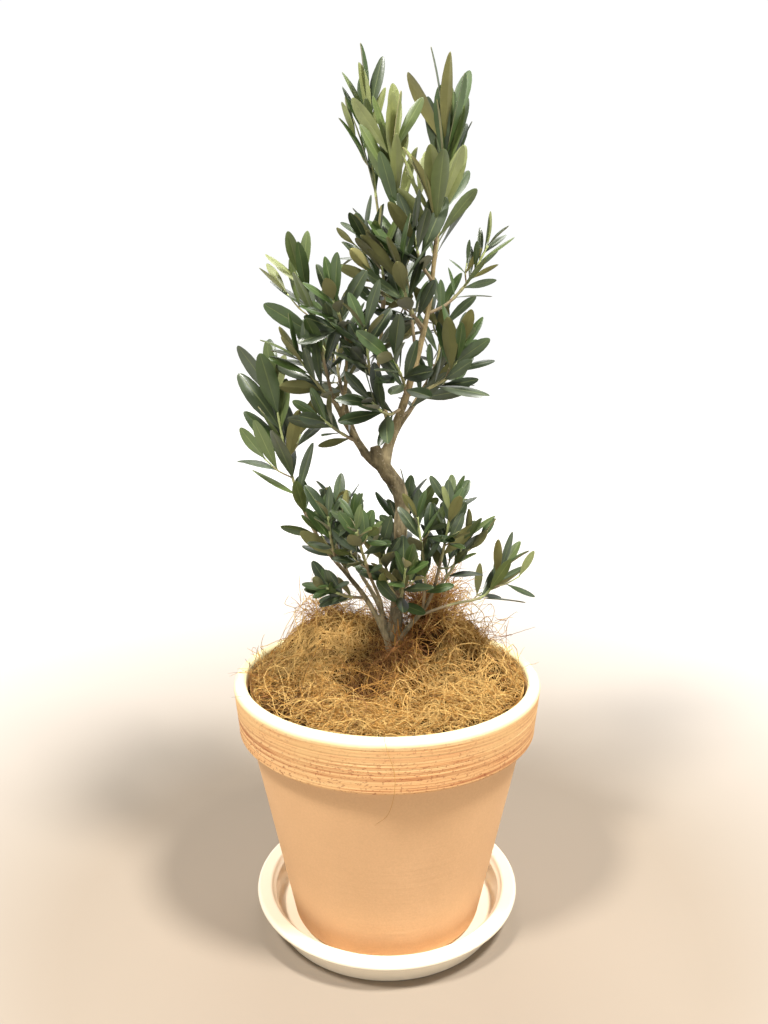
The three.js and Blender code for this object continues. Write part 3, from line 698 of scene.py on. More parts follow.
def pot():
    """The pot's turned body: its foot, its wall, its collar, its rounded lip and its inside."""
    profile = [(DRAIN, POT_BOTTOM)]
    profile += arc(FOOT - 3, POT_BOTTOM + 3, 3, 3, -90, 0, 6)
    low = profile[-1][1]
    profile += [(mix(FOOT, NECK, k / 24), mix(low, NECK_HEIGHT, k / 24)) for k in range(1, 25)]
    profile += arc(COLLAR - 2.6, NECK_HEIGHT + 3, 2.6, 2.4, -90, 0, 6)
    for row in range(1, COMB_ROWS):
        share = row / COMB_ROWS
        profile.append((mix(COLLAR, POT_RIM, share), mix(COMB_LOW, COMB_HIGH, share)))
    profile += arc(POT_RIM - 4, COMB_HIGH, 4, 4.5, 0, 90, 10)
    profile += arc(MOUTH + 2.6, POT_TOP - 3, 2.6, 3, 90, 180, 5)
    profile += [(insides(z), z) for z in (POT_TOP - 8, NECK_HEIGHT, POT_FLOOR)]
    profile += [(DRAIN, POT_FLOOR)]
    shell = Shell()
    shell.add(scored(turned(profile, POT_SEGMENTS)), [closed_faces(len(profile), POT_SEGMENTS)])
    made = shell.make("pot_turned", [clay()])
    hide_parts("pot")
    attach(made, "root")


def saucer():
    """The moulded plastic saucer: an upright wall, and a broad flat lip with a step inside it."""
    base, wall, skin, top = SAUCER_BASE, SAUCER_WALL, SAUCER_SKIN, SAUCER_HEIGHT
    profile = [(0.5, 0), (base - 2.5, 0)]
    profile += arc(base - 1.5, 1.5, 1.5, 1.5, -90, 0, 4)
    profile += [(wall, top - 7)]
    profile += arc(wall + 2.5, top - 7, 2.5, 2, 180, 90, 3)
    profile += arc(SAUCER_LIP - 2.6, top - 2.6, 2.6, 2.6, -50, 95, 9)
    profile += arc(wall + 2.6, top - 2.6, 2.6, 2.4, 80, 150, 5)
    profile += [(wall - 0.6, top - 3.6), (wall - 1.8, top - 4), (wall - skin, top - 5.2)]
    profile += arc(base - skin - 2.5, skin + 3, 2.5, 3, 0, -90, 5)
    profile += [(SAUCER_SEAT + 3, skin), (SAUCER_SEAT + 1, POT_BOTTOM - 0.3), (0.5, POT_BOTTOM - 0.3)]
    shell = Shell()
    shell.add(turned(profile, SAUCER_SEGMENTS), [closed_faces(len(profile), SAUCER_SEGMENTS)])
    made = shell.make("saucer_moulded", [plastic()])
    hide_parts("saucer")
    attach(made, "root")


def soil():
    finish = mottled("soil", (0.05, 0.035, 0.024), 0.95, 160, 0.4, 420, 1.5)
    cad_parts["soil"].data.materials.clear()
    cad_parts["soil"].data.materials.append(finish)


# ---------------------------------------------------------------- mulch


def mulch_height(x, y):
    height = MULCH_LEVEL + 1.6 * np.sin(x / 6 + 1) * np.cos(y / 7)
    for mound_x, mound_y, rise, spread in (*MOUNDS, HEAP, HOLLOW):
        height = height + rise * np.exp(-((x - mound_x) ** 2 + (y - mound_y) ** 2) / spread**2)
    share = np.clip((np.hypot(x, y) - 80) / 19, 0, 1)
    return mix(height, MULCH_LEVEL, share * share * (3 - 2 * share))


MULCH_SEGMENTS = 160
MULCH_LOW = 166
TUFT_SEGMENTS = 22
TUFT_RINGS = 14


def heap(shell):
    """Adds the mulch's lumpy top and its flat underside, which fill the pot's mouth."""
    edge = insides(MULCH_LEVEL) - 0.4
    radii = np.linspace(0, edge, 64)[1:]
    around = turns(MULCH_SEGMENTS)
    x, y = radii[:, None] * np.cos(around), radii[:, None] * np.sin(around)
    lumps = 1.8 * np.sin(x / 4.1 + 2 * np.sin(y / 6)) * np.sin(y / 4.7 + x / 9)
    top = np.stack([x, y, mulch_height(x, y) - 1.9 + lumps], axis=2)
    shrink = insides(MULCH_LOW) / edge - 0.006
    under = np.stack([x[-1] * shrink, y[-1] * shrink, np.full(MULCH_SEGMENTS, MULCH_LOW)], axis=1)
    middles = [[0, 0, top[0, :, 2].mean()], [0, 0, MULCH_LOW]]
    rows = len(radii)
    quads = ring_faces(rows + 1, MULCH_SEGMENTS)[:, ::-1]
    first = np.arange(MULCH_SEGMENTS)
    fan_top = fan((rows + 1) * MULCH_SEGMENTS, first)
    fan_low = fan((rows + 1) * MULCH_SEGMENTS + 1, rows * MULCH_SEGMENTS + first)[:, [0, 2, 1]]
    points = np.vstack([top.reshape(-1, 3), under, middles])
    shell.add(points, [quads, fan_top, fan_low])


def tuft(shell):
    """Adds the cone of fibres behind the trunk."""
    up = np.linspace(0, 0.94, TUFT_RINGS)[:, None]
    turn = turns(TUFT_SEGMENTS)
    swell = 1 + 0.9 * up * (1 - up) + 0.15 * np.sin(3 * turn + 5 * up)
    spread = TUFT["radius"] * 0.84 * (1 - up) * swell
    height = TUFT["low"] + (TUFT["tip"] - TUFT["low"]) * up + 0 * turn
    x, y = TUFT["x"] + spread * np.cos(turn), TUFT["y"] + spread * np.sin(turn)
    cone = np.stack([x, y, height], axis=2)
    first = np.arange(TUFT_SEGMENTS)
    lids = np.array([first[::-1], first + (TUFT_RINGS - 1) * TUFT_SEGMENTS])
    shell.add(cone, [ring_faces(TUFT_RINGS, TUFT_SEGMENTS), lids])


def mulch_bed():
    """The felted body of the mulch and of its tuft, which the loose fibres lie on, darkened as painted
    shade in the gaps between them.
    """
    shell = Shell()
    heap(shell)
    tuft(shell)
    made = shell.make("mulch_bed", [painted_shade_fibre_bed()])
    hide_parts("mulch")
    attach(made, "root")


def threads(centres, radius):
    """Three-sided threads along rows of points, as points, quads and lids."""
    count, steps = centres.shape[:2]
    along = unit(np.gradient(centres, axis=1))
    side = unit(np.cross(along, unit(np.array([0.21, 0.34, 0.92]))))
    deep = np.cross(along, side)
    taper = np.sin(np.linspace(0.12, math.pi - 0.12, steps)) ** 0.35
    reach = (radius[:, None] * taper)[..., None, None]
    points = centres[:, :, None] + spokes(side, deep, 3) * reach
    shift = (np.arange(count) * steps * 3)[:, None, None]
    quads = (ring_faces(steps, 3)[None] + shift).reshape(-1, 4)
    last = steps * 3 - 3
    ends = np.array([[2, 1, 0], [last, last + 1, last + 2]])
    lids = (ends[None] + shift).reshape(-1, 3)
    return points.reshape(-1, 3), quads, lids


TRUNK_FOOT = np.array([4.4, 0.4])
TRUNK_REACH = 8.5
FIBRES_START = 97  # how far from the pot's axis the laid fibres start and how far they may go
FIBRES_END = 98.6


def keep_off_trunk(points):
    """Moves points that fall in the trunk's foot out to its bark."""
    away = points[..., :2] - TRUNK_FOOT
    gap = np.linalg.norm(away, axis=-1, keepdims=True)
    points[..., :2] += away / np.maximum(gap, 0.1) * np.maximum(TRUNK_REACH - gap, 0)
    return points


def laid_fibres(count, seed, length, curl, lift):
    """Fibres that lie over the mounds, combed outwards, arched a little and curling as they go."""
    draw = np.random.default_rng(seed)
    steps = 10
    angle = draw.uniform(0, 2 * math.pi, count)
    radius = FIBRES_START * np.sqrt(draw.uniform(0, 1, count))
    x, y = radius * np.cos(angle), radius * np.sin(angle)
    swirl = 5 * perlin(np.stack([x, y, np.full(count, float(seed))], axis=1), 0.021)
    heading = angle + swirl + draw.normal(0, 0.55, count)
    turning = draw.normal(0, curl, count)
    reach = draw.uniform(*length, count)
    rise = draw.exponential(lift, count)
    base = draw.uniform(-0.8, 1.6, count)
    places = []
    for step in range(steps):
        share = step / (steps - 1)
        limit = np.maximum(np.hypot(x, y) / FIBRES_END, 1)
        x, y = x / limit, y / limit
        z = mulch_height(x, y) + base + rise * math.sin(math.pi * share)
        places.append(np.stack([x, y, z], axis=1))
        heading = heading + turning * reach / (steps - 1) + draw.normal(0, 0.07, count)
        x = x + np.cos(heading) * reach / (steps - 1)
        y = y + np.sin(heading) * reach / (steps - 1)
    return keep_off_trunk(np.stack(places, axis=1))


def tangled_fibres(count, seed, centre, size, length, curl, climb):
    """Curling fibres loose in the air about a centre, where they start, more or less upright."""
    draw = np.random.default_rng(seed)
    steps = 12
    spot = draw.normal(0, 0.42, (count, 3)) * size + centre
    way = unit(draw.normal(0, 1, (count, 3)) + UP * climb)
    axis = unit(draw.normal(0, 1, (count, 3)))
    reach = draw.uniform(*length, count)[:, None] / (steps - 1)
    turning = draw.normal(0, curl, count)[:, None] * reach
    places = [spot]
    for _ in range(steps - 1):
        way = unit(way + np.cross(axis, way) * turning + draw.normal(0, 0.1, (count, 3)))
        spot = spot + way * reach
        places.append(spot)
    return np.stack(places, axis=1)


ROOTS = 6


def roots(draw):
    """Pale rootlets that hang from the trunk's foot into the fibres before it."""
    centres = []
    for number in range(ROOTS):
        turn = mix(-2.4, -0.7, number / (ROOTS - 1)) + draw.uniform(-0.25, 0.25)
        out = np.array([math.cos(turn), math.sin(turn), 0])
        foot = np.array([4.6, 0, 0]) + out * mix(5.8, 7, draw.uniform())
        reach = draw.uniform(8, 24)
        low = foot + out * reach
        level = mulch_height(low[0], low[1])
        knots = [
            (*(foot + out * 0.5)[:2], draw.uniform(206, 236)),
            (*(foot + out * reach * 0.3 + draw.normal(0, 2.5, 3))[:2], draw.uniform(198, 208)),
            (*low[:2], level + 0.5),
        ]
        centres.append(Path(knots).points(np.linspace(0, 1, 14)) + draw.normal(0, 0.45, (14, 3)))
    return np.array(centres)


# Places in the mulch: x, y, how far they spread, and how much paler or darker they are: paler on the
# mounds as painted light, darker in the hollows and at the trunk's foot as painted shade.
LIT_AND_SHADED_NESTS = [
    (-56, 8, 34, 0.7),
    (54, -8, 34, 0.45),
    (14, -72, 34, 0.25),
    (-14, -28, 17, -0.9),
    (6, -4, 17, -0.6),
    (-78, -46, 14, -0.3),
]

# The loose fibres' colours, and how they are dealt out where they lie flat and where they stand.
FIBRES = {
    "fibre_brown": ((0.175, 0.08, 0.022), 0.17, 0.2),
    "fibre_rust": ((0.3, 0.13, 0.044), 0.04, 0.34),
    "fibre_tan": ((0.41, 0.212, 0.048), 0.36, 0.31),
    "fibre_straw": ((0.61, 0.39, 0.13), 0.42, 0.15),
}

# Bundles that lie over the mounds: how many fibres, the seed, their length, curl and lift.
LAID = [
    (2400, 11, (16, 46), 0.1, 2.1),
    (1700, 12, (10, 30), 0.22, 3.2),
    (520, 13, (30, 70), 0.06, 6.5),
    (420, 22, (34, 74), 0.09, 7.0),
]

# Bundles that stand loose: how many, the seed, where, how far they spread, length, curl and climb.
STANDING = [
    (820, 14, (31, 22, 222), (19, 13, 27), (18, 46), 0.07, 0.8),
    (260, 15, (30, 14, 236), (25, 12, 22), (14, 36), 0.15, 0.4),
    (260, 16, (-44, 40, 219), (24, 14, 10), (14, 36), 0.17, 0.3),
    (90, 17, (66, 22, 206), (22, 20, 18), (22, 52), 0.12, 0.5),
    (64, 18, (-88, -6, 189), (8, 36, 4), (10, 26), 0.12, 0.5),
    (50, 19, (87, -2, 189), (8, 34, 4), (10, 26), 0.12, 0.5),
    (160, 20, (12, -12, 208), (15, 10, 14), (12, 30), 0.12, 0.3),
]

# One hair that hangs over the collar.
HAIR = [(-2, -104, 190.5), (-1.5, -111.6, 188), (4.5, -112, 166), (1, -110.5, 142), (-8, -99, 126)]


def painted_light_and_shade(points):
    """How much paler the fibres are on the nests they are heaped in than in the gaps between: painted
    light on the mounds, painted shade in the hollows.
    """
    pale = np.zeros(len(points))
    for x, y, spread, gain in LIT_AND_SHADED_NESTS:
        pale += gain * np.exp(-((points[:, 0] - x) ** 2 + (points[:, 1] - y) ** 2) / spread**2)
    return pale


def strands():
    """Every loose fibre, dealt out by colour."""
    draw = np.random.default_rng(21)
    lots = {name: [] for name in FIBRES}
    laid = [laid_fibres(*row) for row in LAID]
    standing = [tangled_fibres(*row) for row in STANDING]
    for group, bundles in ((1, laid), (2, standing)):
        shares = [row[group] for row in FIBRES.values()]
        for bundle in bundles:
            count = len(bundle)
            middle = bundle[:, 6]
            level = draw.uniform(0, 1, count) + 0.35 * perlin(middle, 0.06, 4.0) + painted_light_and_shade(middle)
            which = np.searchsorted(np.cumsum(shares)[:-1], np.clip(level, 0, 1))
            radius = draw.uniform(0.13, 0.28, count) * (0.88 + 0.08 * which)
            for k, name in enumerate(FIBRES):
                lots[name].append((bundle[which == k], radius[which == k]))
    hair = Path(HAIR).points(np.linspace(0, 1, 24))
    lots["fibre_tan"].append((hair[None], np.array([0.2])))
    lots["fibre_tan"].append((roots(draw), draw.uniform(0.4, 0.8, ROOTS)))
    for name, (colour, _, _) in FIBRES.items():
        shell = Shell()
        for centres, radius in lots[name]:
            points, quads, lids = threads(centres, radius)
            shell.add(points, [quads, lids])
        finish = mottled(name, colour, 0.75, 90, 0.2, specular_ior_level=0.25)
        made = shell.make(name + "_strands", [finish])
        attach(made, "root")


# ---------------------------------------------------------------- trunk and boughs

LIMB_SIDES = 20
VOXEL = 0.6  # the grain of the skin that the limbs are fused in


def swollen_foot(share, reach, radius):
    """How much a bough swells towards its carrier."""
    return 1 + 0.45 * np.exp(-((share * reach / (radius * 3.2)) ** 2))


def root_flare(share):
    """How the trunk's foot spreads in three ridges."""
    return 1 + 0.22 * np.maximum(0, 1 - share * 6) * np.cos(3 * turns(LIMB_SIDES) + 1)


def limb_shell():
    """Every limb as a tube, its foot swollen where it leaves its carrier."""
    shell = Shell()
    for name, (knots, radii) in LIMBS.items():
        path = Path(knots)
        is_trunk = name == "trunk"
        start = 0.03 if is_trunk else 0
        points, quads, lids, _ = tube(path, radii, LIMB_SIDES, 1.6, start)
        rows = points.reshape(-1, LIMB_SIDES, 3)
        share = np.linspace(start, 1, len(rows))[:, None]
        middle = path.points(share[:, 0])[:, None]
        spread = root_flare(share) if is_trunk else swollen_foot(share, path.length, radii[0])
        shell.add(middle + (rows - middle) * spread[..., None], [quads, lids])
    return shell


def nearest_limb_frames(points):
    """For each point: how far along and around its nearest limb it lies, and that limb's radius."""
    spots, data = [], []
    for number, (knots, radii) in enumerate(LIMBS.values()):
        path = Path(knots)
        along = np.linspace(0, 1, max(8, int(path.length / 2)))
        sides, deeps = frames_along(path.tangents(along))
        radius = np.interp(along, np.linspace(0, 1, len(radii)), radii)
        spots.extend(path.points(along))
        data.extend(zip(along * path.length + 300 * number, radius, sides, deeps))
    tree = kdtree.KDTree(len(spots))
    for k, spot in enumerate(spots):
        tree.insert(spot, k)
    tree.balance()
    result = []
    for point in points:
        spot, k, _ = tree.find(point)
        run, radius, side, deep = data[k]
        away = point - np.array(spot)
        result.append((run, radius, math.atan2(np.dot(away, deep), np.dot(away, side))))
    return np.array(result)


def vertex_rows(mesh, key):
    """A mesh's places or normals as rows of three."""
    rows = np.empty(len(mesh.vertices) * 3, np.float32)
    mesh.vertices.foreach_get(key, rows)
    return rows.reshape(-1, 3).astype(float)


def limbs():
    """The trunk and boughs fused in one skin, which the bark's relief is raised on."""
    made = limb_shell().make("limbs", [bark()])
    for kind, settings in (
        ("REMESH", {"mode": "VOXEL", "voxel_size": VOXEL * MM, "use_smooth_shade": True}),
        ("SMOOTH", {"factor": 0.5, "iterations": 4}),
    ):
        modifier = made.modifiers.new(kind, kind)
        for key, value in settings.items():
            setattr(modifier, key, value)
    depsgraph = bpy.context.evaluated_depsgraph_get()
    fused = bpy.data.meshes.new_from_object(made.evaluated_get(depsgraph))
    made.modifiers.clear()
    made.data = fused
    points = vertex_rows(fused, "co") / MM
    normals = vertex_rows(fused, "normal")
    run, radius, around = nearest_limb_frames(points).T
    # Wrinkles run along the limb; lumps swell it a little.
    on_bark = np.stack([np.cos(around) * radius, np.sin(around) * radius, run / 4.5], axis=1)
    wrinkles = perlin(on_bark, 0.85) + 0.5 * perlin(on_bark, 1.9, 7.0)
    lumps = perlin(points, 0.11, 3.0)
    relief = radius * (0.05 * wrinkles + 0.14 * lumps - 0.05)
    points += normals * relief[:, None]
    fused.vertices.foreach_set("co", (points * MM).astype(np.float32).ravel())
    fused.update()
    made.name = "trunk_and_boughs"
    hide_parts(*LIMBS)
    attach(made, "root")


# ---------------------------------------------------------------- leaves and twigs

LIGHT = unit(np.array([0.1, -0.8, 0.55]))
TURNED_AWAY = 0.22  # the share of leaves that are turned away from the light


def station_on(path, along):
    """A place on a stem, with the stem's direction there and two directions square to it."""
    tangent = path.tangent(along)
    side = unit(np.cross(tangent, [0, 1, 0]))
    return path.point(along), tangent, side, np.cross(side, tangent)


def leaving(station, angle, heading):
    """The direction that leaves the stem at an angle, and the one square to it that faces the tip."""
    _, tangent, side, deep = station
    out = side * math.cos(heading) + deep * math.sin(heading)
    axis = tangent * math.cos(angle) + out * math.sin(angle)
    return axis, tangent * math.sin(angle) - out * math.cos(angle)


def leaves_on(path, rule, random):
    """Opposite pairs of leaves, each pair a quarter turn on, closing up towards the young tip."""
    leaves = []
    pairs = rule["pairs"]
    for pair in range(pairs):
        along = mix(rule["first"], 1, (pair / (pairs - 1)) ** rule["bunch"])
        station = station_on(path, min(along, 0.995))
        young = along**5
        for twin in range(2):
            heading = (rule["turn"] + 90 * pair + 180 * twin + 40 * (random() - 0.5)) * RAD
            angle = (mix(rule["open"], rule["closed"], along) + 18 * (random() - 0.5)) * RAD
            size = mix(rule["foot"], 1, min(1, along * 2)) * mix(1, rule["tip"], young)
            length = rule["leaf"] * size * (0.82 + 0.36 * random())
            broad = length * rule["width"] * (0.88 + 0.24 * random())
            facing = random()
            pull = -1.3 if facing < TURNED_AWAY else 0.3 + 1.5 * facing
            bend = 0.02 + 0.14 * random()
            axis, face = leaving(station, angle, heading)
            face = unit(face + (LIGHT - axis * np.dot(LIGHT, axis)) * pull)
            droop = face
            if facing >= rule["under"] and np.dot(face, LIGHT) < 0:
                face = -face
            leaves.append(
                {
                    "root": station[0], "axis": axis, "face": face, "length": length, "width": broad,
                    "bend": bend, "along": along, "droop": droop,
                    **{key: rule[key] for key in ("belly", "base", "blunt", "age")},
                }
            )
    return leaves


def side_twigs(path, rule, random):
    """The mass's side twigs, each curving up towards the stem's own direction."""
    twigs = []
    shoots = rule["shoots"]
    for shoot in range(shoots):
        along = mix(0.15, 0.75, (shoot + random()) / shoots)
        heading = (rule["turn"] + 45 + 137.5 * shoot + 40 * (random() - 0.5)) * RAD
        reach = min(46, max(24, path.length * (1 - along) * mix(0.6, 0.9, random())))
        station = station_on(path, along)
        axis, _ = leaving(station, 48 * RAD, heading)
        middle = station[0] + axis * reach * 0.5
        tip = middle + axis * reach * 0.25 + station[1] * reach * 0.25
        twigs.append(Path([station[0], middle, tip]))
    return twigs


def fine_shoots(path, rule, random):
    """Short shoots from the leaf axils, the finest twigs of the mass."""
    twigs = []
    for shoot in range(rule["fine"]):
        along = mix(max(0.12, rule["first"] * 0.8), 0.82, (shoot + random()) / rule["fine"])
        heading = (rule["turn"] + 20 + 137.5 * shoot + 60 * (random() - 0.5)) * RAD
        station = station_on(path, along)
        axis, _ = leaving(station, (36 + 16 * random()) * RAD, heading)
        reach = rule["leaf"] * (0.32 + 0.34 * random())
        middle = station[0] + axis * reach * 0.5
        tip = middle + unit(axis + station[1] * 0.5) * reach * 0.5
        twigs.append(Path([station[0], middle, tip]))
    return twigs


class Room:
    """What is already grown, by the cells of a grid, so that a new leaf can keep clear of it."""

    CELL = 3.0

    def __init__(self):
        self.cells = {}

    def add(self, points):
        for point in points:
            self.cells.setdefault(tuple((point // self.CELL).astype(int)), []).append(point)

    def add_path(self, path, low, high, pitch):
        self.add(path.points(np.linspace(low, high, int(path.length / pitch))))

    def free(self, points, gap):
        for point in points:
            base = (point // self.CELL).astype(int)
            for shift in product((-1, 0, 1), repeat=3):
                for other in self.cells.get(tuple(base + shift), ()):
                    if ((point - other) ** 2).sum() < gap * gap:
                        return False
        return True


# Where a leaf's blade is felt for room: how far along it and how far to its side.
PROBES = [(0.4, -0.6), (0.4, 0.6), (0.5, 0), (0.65, -0.7), (0.65, 0.7), (0.8, 0), (0.97, 0)]


def leaf_probes(leaf):
    """Points spread over a leaf's blade."""
    across = np.cross(leaf["axis"], leaf["face"])
    probes = []
    for along, side in PROBES:
        probes.append(
            leaf["root"]
            + leaf["axis"] * leaf["length"] * along
            + across * leaf["width"] / 2 * side
            - leaf["droop"] * leaf["bend"] * leaf["length"] * along**2
        )
    return np.array(probes)


# A leaf's rows from its stalk to its tip and its columns across; all but the outer columns have an
# underside of their own, and the two in the middle bound the midrib.
LEAF_ROWS = np.array([0, 0.07, 0.18, 0.32, 0.47, 0.62, 0.76, 0.87, 0.95, 0.985, 1.0])
LEAF_COLUMNS = np.array([-1, -0.55, -0.06, 0.06, 0.55, 1])
INNER = slice(1, 5)
LEAF_THICKNESS = 0.42
PETIOLE = 0.5


def grid_quads(index):
    """The quads of a grid of point numbers."""
    corners = [index[:-1, :-1], index[:-1, 1:], index[1:, 1:], index[1:, :-1]]
    return np.stack(corners, axis=-1).reshape(-1, 4)


def leaf_surfaces(leaves):
    """The grids of points of every leaf's upper side, and of its underside within the margin."""
    def of(key):
        return np.array([leaf[key] for leaf in leaves])

    root, axis, face, falling = of("root"), of("axis"), of("face"), of("droop")
    length, width, bend, fold, curl, twist = (
        of(key)[:, None] for key in ("length", "width", "bend", "fold", "curl", "twist")
    )
    belly, base, blunt = (of(key)[:, None] for key in ("belly", "base", "blunt"))
    t = LEAF_ROWS[None]
    rise = np.sin(math.pi / 2 * np.clip(t / belly, 0, 1)) ** base
    fall = np.cos(math.pi / 2 * np.clip((t - belly) / (1 - belly), 0, 1))
    outline = np.where(t < belly, rise, np.maximum(fall, 0) ** blunt) * width / 2
    half = np.maximum(outline, np.where(t < 0.5, PETIOLE, 0.08))[..., None]
    turn = (twist * t)[..., None, None]
    across = np.cross(axis, face)[:, None, None]
    out = face[:, None, None]
    across, out = across * np.cos(turn) + out * np.sin(turn), out * np.cos(turn) - across * np.sin(turn)
    u = LEAF_COLUMNS[None, None]
    lift = (fold[..., None] * np.abs(u) - curl[..., None] * u**2) * half
    spine = root[:, None, None] + axis[:, None, None] * (t * length)[..., None, None]
    sag = falling[:, None, None] * (bend * length * t**2)[..., None, None]
    top = spine + across * (u * half)[..., None] + out * lift[..., None] - sag
    thick = LEAF_THICKNESS * np.array([0.9, 1.5, 1.5, 0.9]) * np.clip(half / 1.2, 0.35, 1)
    return top, top[:, :, INNER] - out * thick[..., None]


def leaf_meshes(leaves, shell):
    """Adds leaves to a shell: a blade of even thickness with a midrib, on its short stalk."""
    top, under = leaf_surfaces(leaves)
    count, rows, columns = top.shape[:3]
    points = np.concatenate([top.reshape(count, -1, 3), under.reshape(count, -1, 3)], axis=1)
    upper = np.arange(rows * columns).reshape(rows, columns)
    lower = upper.copy()
    lower[:, INNER] = rows * columns + np.arange(rows * 4).reshape(rows, 4)
    far_end = np.concatenate([upper[-1], lower[-1, INNER][::-1]])
    near_end = np.concatenate([upper[0], lower[0, INNER][::-1]])[::-1]
    shift = (np.arange(count) * points.shape[1])[:, None, None]

    def spread(faces):
        return (faces[None] + shift).reshape(-1, faces.shape[1])

    rib_strip = np.tile([0, 0, 1, 0, 0], rows - 1)
    crease = np.zeros(points.shape[1], bool)
    crease[upper[:, [0, -1]].ravel()] = True
    ends = np.stack([far_end, near_end])
    groups = [spread(faces) for faces in (grid_quads(upper), grid_quads(lower)[:, ::-1], ends)]
    shell.add(points, groups, (np.tile(rib_strip, count), 2, 0), np.tile(crease, count))


def twig_mesh(path, radii, shell, nodes, sides=7):
    """A twig with a joint at each pair of leaves, brown at its foot and green at its tip."""
    points, quads, lids, shares = tube(path, radii, sides, 2.2)
    rings = len(points) // sides
    along = np.linspace(0, 1, rings)
    swell = 1 + 0.28 * sum(np.exp(-((((along - node) * path.length) / 1.3) ** 2)) for node in nodes)
    middle = path.points(along)[:, None]
    points = middle + (points.reshape(rings, sides, 3) - middle) * np.reshape(swell, (-1, 1, 1))
    finish = np.searchsorted([0.3, 0.65], shares)
    shell.add(points, [quads, lids], (finish, [0, 2]))


RULE_KEYS = ("points", "pairs", "turn", "leaf", "seed", "age")

# From a twig's foot to its tip: colour, roughness, how much it drifts, and the depth of the grain.
TWIG_FINISHES = [
    ("twig_brown", (0.2, 0.15, 0.08), 0.75, 0.3, 0.1),
    ("twig_olive", (0.25, 0.23, 0.1), 0.65, 0.2, 0.06),
    ("twig_green", (0.36, 0.4, 0.16), 0.55, 0.15, 0.04),
]

FINE = {"pairs": 2, "first": 0.5, "bunch": 1, "fine": 0, "open": 48}
SPARE = 3  # how far past its mass in the solids a fine shoot's leaf may reach
CLEARANCE = 1.9  # how clear of all else a new leaf's points keep
SWINGS = (0, 14, -14, 26, -26)  # the turns in which a leaf looks for room


def rule_of(row):
    """A mass's rule: its kind's values and then its own."""
    kind, *own, more = row
    return {**kind, **dict(zip(RULE_KEYS, own)), **more}


def sprays_of(rule):
    """The mass's stem and side twigs, each with its rule, its radii and its leaves."""
    random = seeded(rule["seed"])
    stem = Path(rule["points"])
    sprays = [(stem, rule, (1.15, 0.95, 0.65), leaves_on(stem, rule, random))]
    side = {**rule, "pairs": 3, "first": 0.45, "fine": 1}
    side["leaf"] = rule["leaf"] * 0.9
    side["age"] = rule["age"] - 0.05
    for twig in side_twigs(stem, rule, random):
        sprays.append((twig, side, (0.8, 0.55), leaves_on(twig, side, random)))
    return sprays


def square_to(vector, axis):
    """The part of a direction that is square to an axis."""
    return unit(vector - axis * np.dot(vector, axis))


def swung(leaf, angle):
    """The leaf turned sideways about its root."""
    across = np.cross(leaf["axis"], leaf["face"])
    axis = unit(leaf["axis"] * math.cos(angle) + across * math.sin(angle))
    face = square_to(leaf["face"], axis)
    return {**leaf, "axis": axis, "face": face, "droop": square_to(leaf["droop"], axis)}


def settled(leaves, room, random, box=None):
    """The leaves that find room, each turned a little where its first place is taken."""
    found = []
    for leaf in leaves:
        for turn in SWINGS:
            trial = swung(leaf, turn * RAD) if turn else dict(leaf)
            probes = leaf_probes(trial)
            if box and not ((probes > box[0]).all() and (probes < box[1]).all()):
                continue
            if room.free(probes, CLEARANCE):
                room.add(probes)
                trial["fold"] = mix(0.15, 0.55, random()) + 0.35 * leaf["along"] ** 4 * leaf["age"]
                trial["curl"] = mix(0.2, 0.55, random())
                trial["twist"] = mix(-0.5, 0.5, random())
                trial["shade"] = random()
                trial["belly"] = leaf["belly"] + mix(-0.05, 0.05, random())
                found.append(trial)
                break
    return found


def grow_sprays(grown, room, twigs):
    """Every mass's stem, side twigs and their leaves."""
    kept = []
    for rule, sprays in grown.values():
        random = seeded(rule["seed"] + 500)
        for twig, own, radii, leaves in sprays:
            nodes = [mix(own["first"], 1, k / (own["pairs"] - 1)) for k in range(own["pairs"])]
            twig_mesh(twig, radii, twigs, nodes)
            kept += settled(leaves, room, random)
    return kept


def grow_shoots(grown, room, twigs):
    """The fine shoots, where the sprays leave room for them within the mass's reach."""
    kept = []
    for name, (rule, sprays) in grown.items():
        random = seeded(rule["seed"] + 500)
        box = (low_of(name) - SPARE, high_of(name) + SPARE)
        for twig, own, _, _ in sprays:
            young = {**own, **FINE, "leaf": own["leaf"] * 0.8, "age": own["age"] + 0.05}
            for shoot in fine_shoots(twig, own, random):
                leaves = settled(leaves_on(shoot, young, random), room, random, box)
                if leaves:
                    kept += leaves
                    twig_mesh(shoot, (0.6, 0.45), twigs, (0.55, 1), sides=5)
    return kept


def grow():
    """Grows every mass by its rule and makes the leaves, by tint, and the twigs."""
    room = Room()
    for knots, _ in LIMBS.values():
        room.add_path(Path(knots), 0, 1, 1.5)
    rules = {name: rule_of(row) for name, row in MASSES.items()}
    grown = {name: (rule, sprays_of(rule)) for name, rule in rules.items()}
    for rule, sprays in grown.values():
        room.add_path(Path(rule["points"]), 0.08, 0.96, 1.5)
        for twig, *_ in sprays[1:]:
            room.add_path(twig, 0.15, 0.9, 2)
    twigs = Shell()
    leaves = grow_sprays(grown, room, twigs) + grow_shoots(grown, room, twigs)
    deal_leaves(leaves)
    finishes = []
    for name, base, roughness, spread, depth in TWIG_FINISHES:
        finishes.append(mottled(name, base, roughness, 120, spread, 500, depth))
    made = twigs.make("twigs", finishes)
    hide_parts(*MASSES)
    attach(made, "root")


def deal_leaves(leaves):
    """Deals the leaves out by tint: old ones dark, the youngest pale, each mass about its own age."""
    lots = [[] for _ in TINTS]
    for leaf in leaves:
        level = leaf["age"] + 0.22 * leaf["along"] ** 3 + 0.5 * (leaf["shade"] - 0.5)
        lots[int(min(max(level, 0), 0.999) * len(lots))].append(leaf)
    for (name, (upper, under, gloss)), lot in zip(TINTS.items(), lots):
        shell = Shell()
        leaf_meshes(lot, shell)
        made = shell.make(name + "_leaves", leaf_finishes(name, upper, under, gloss))
        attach(made, "root")


# ---------------------------------------------------------------- floor, lights, camera

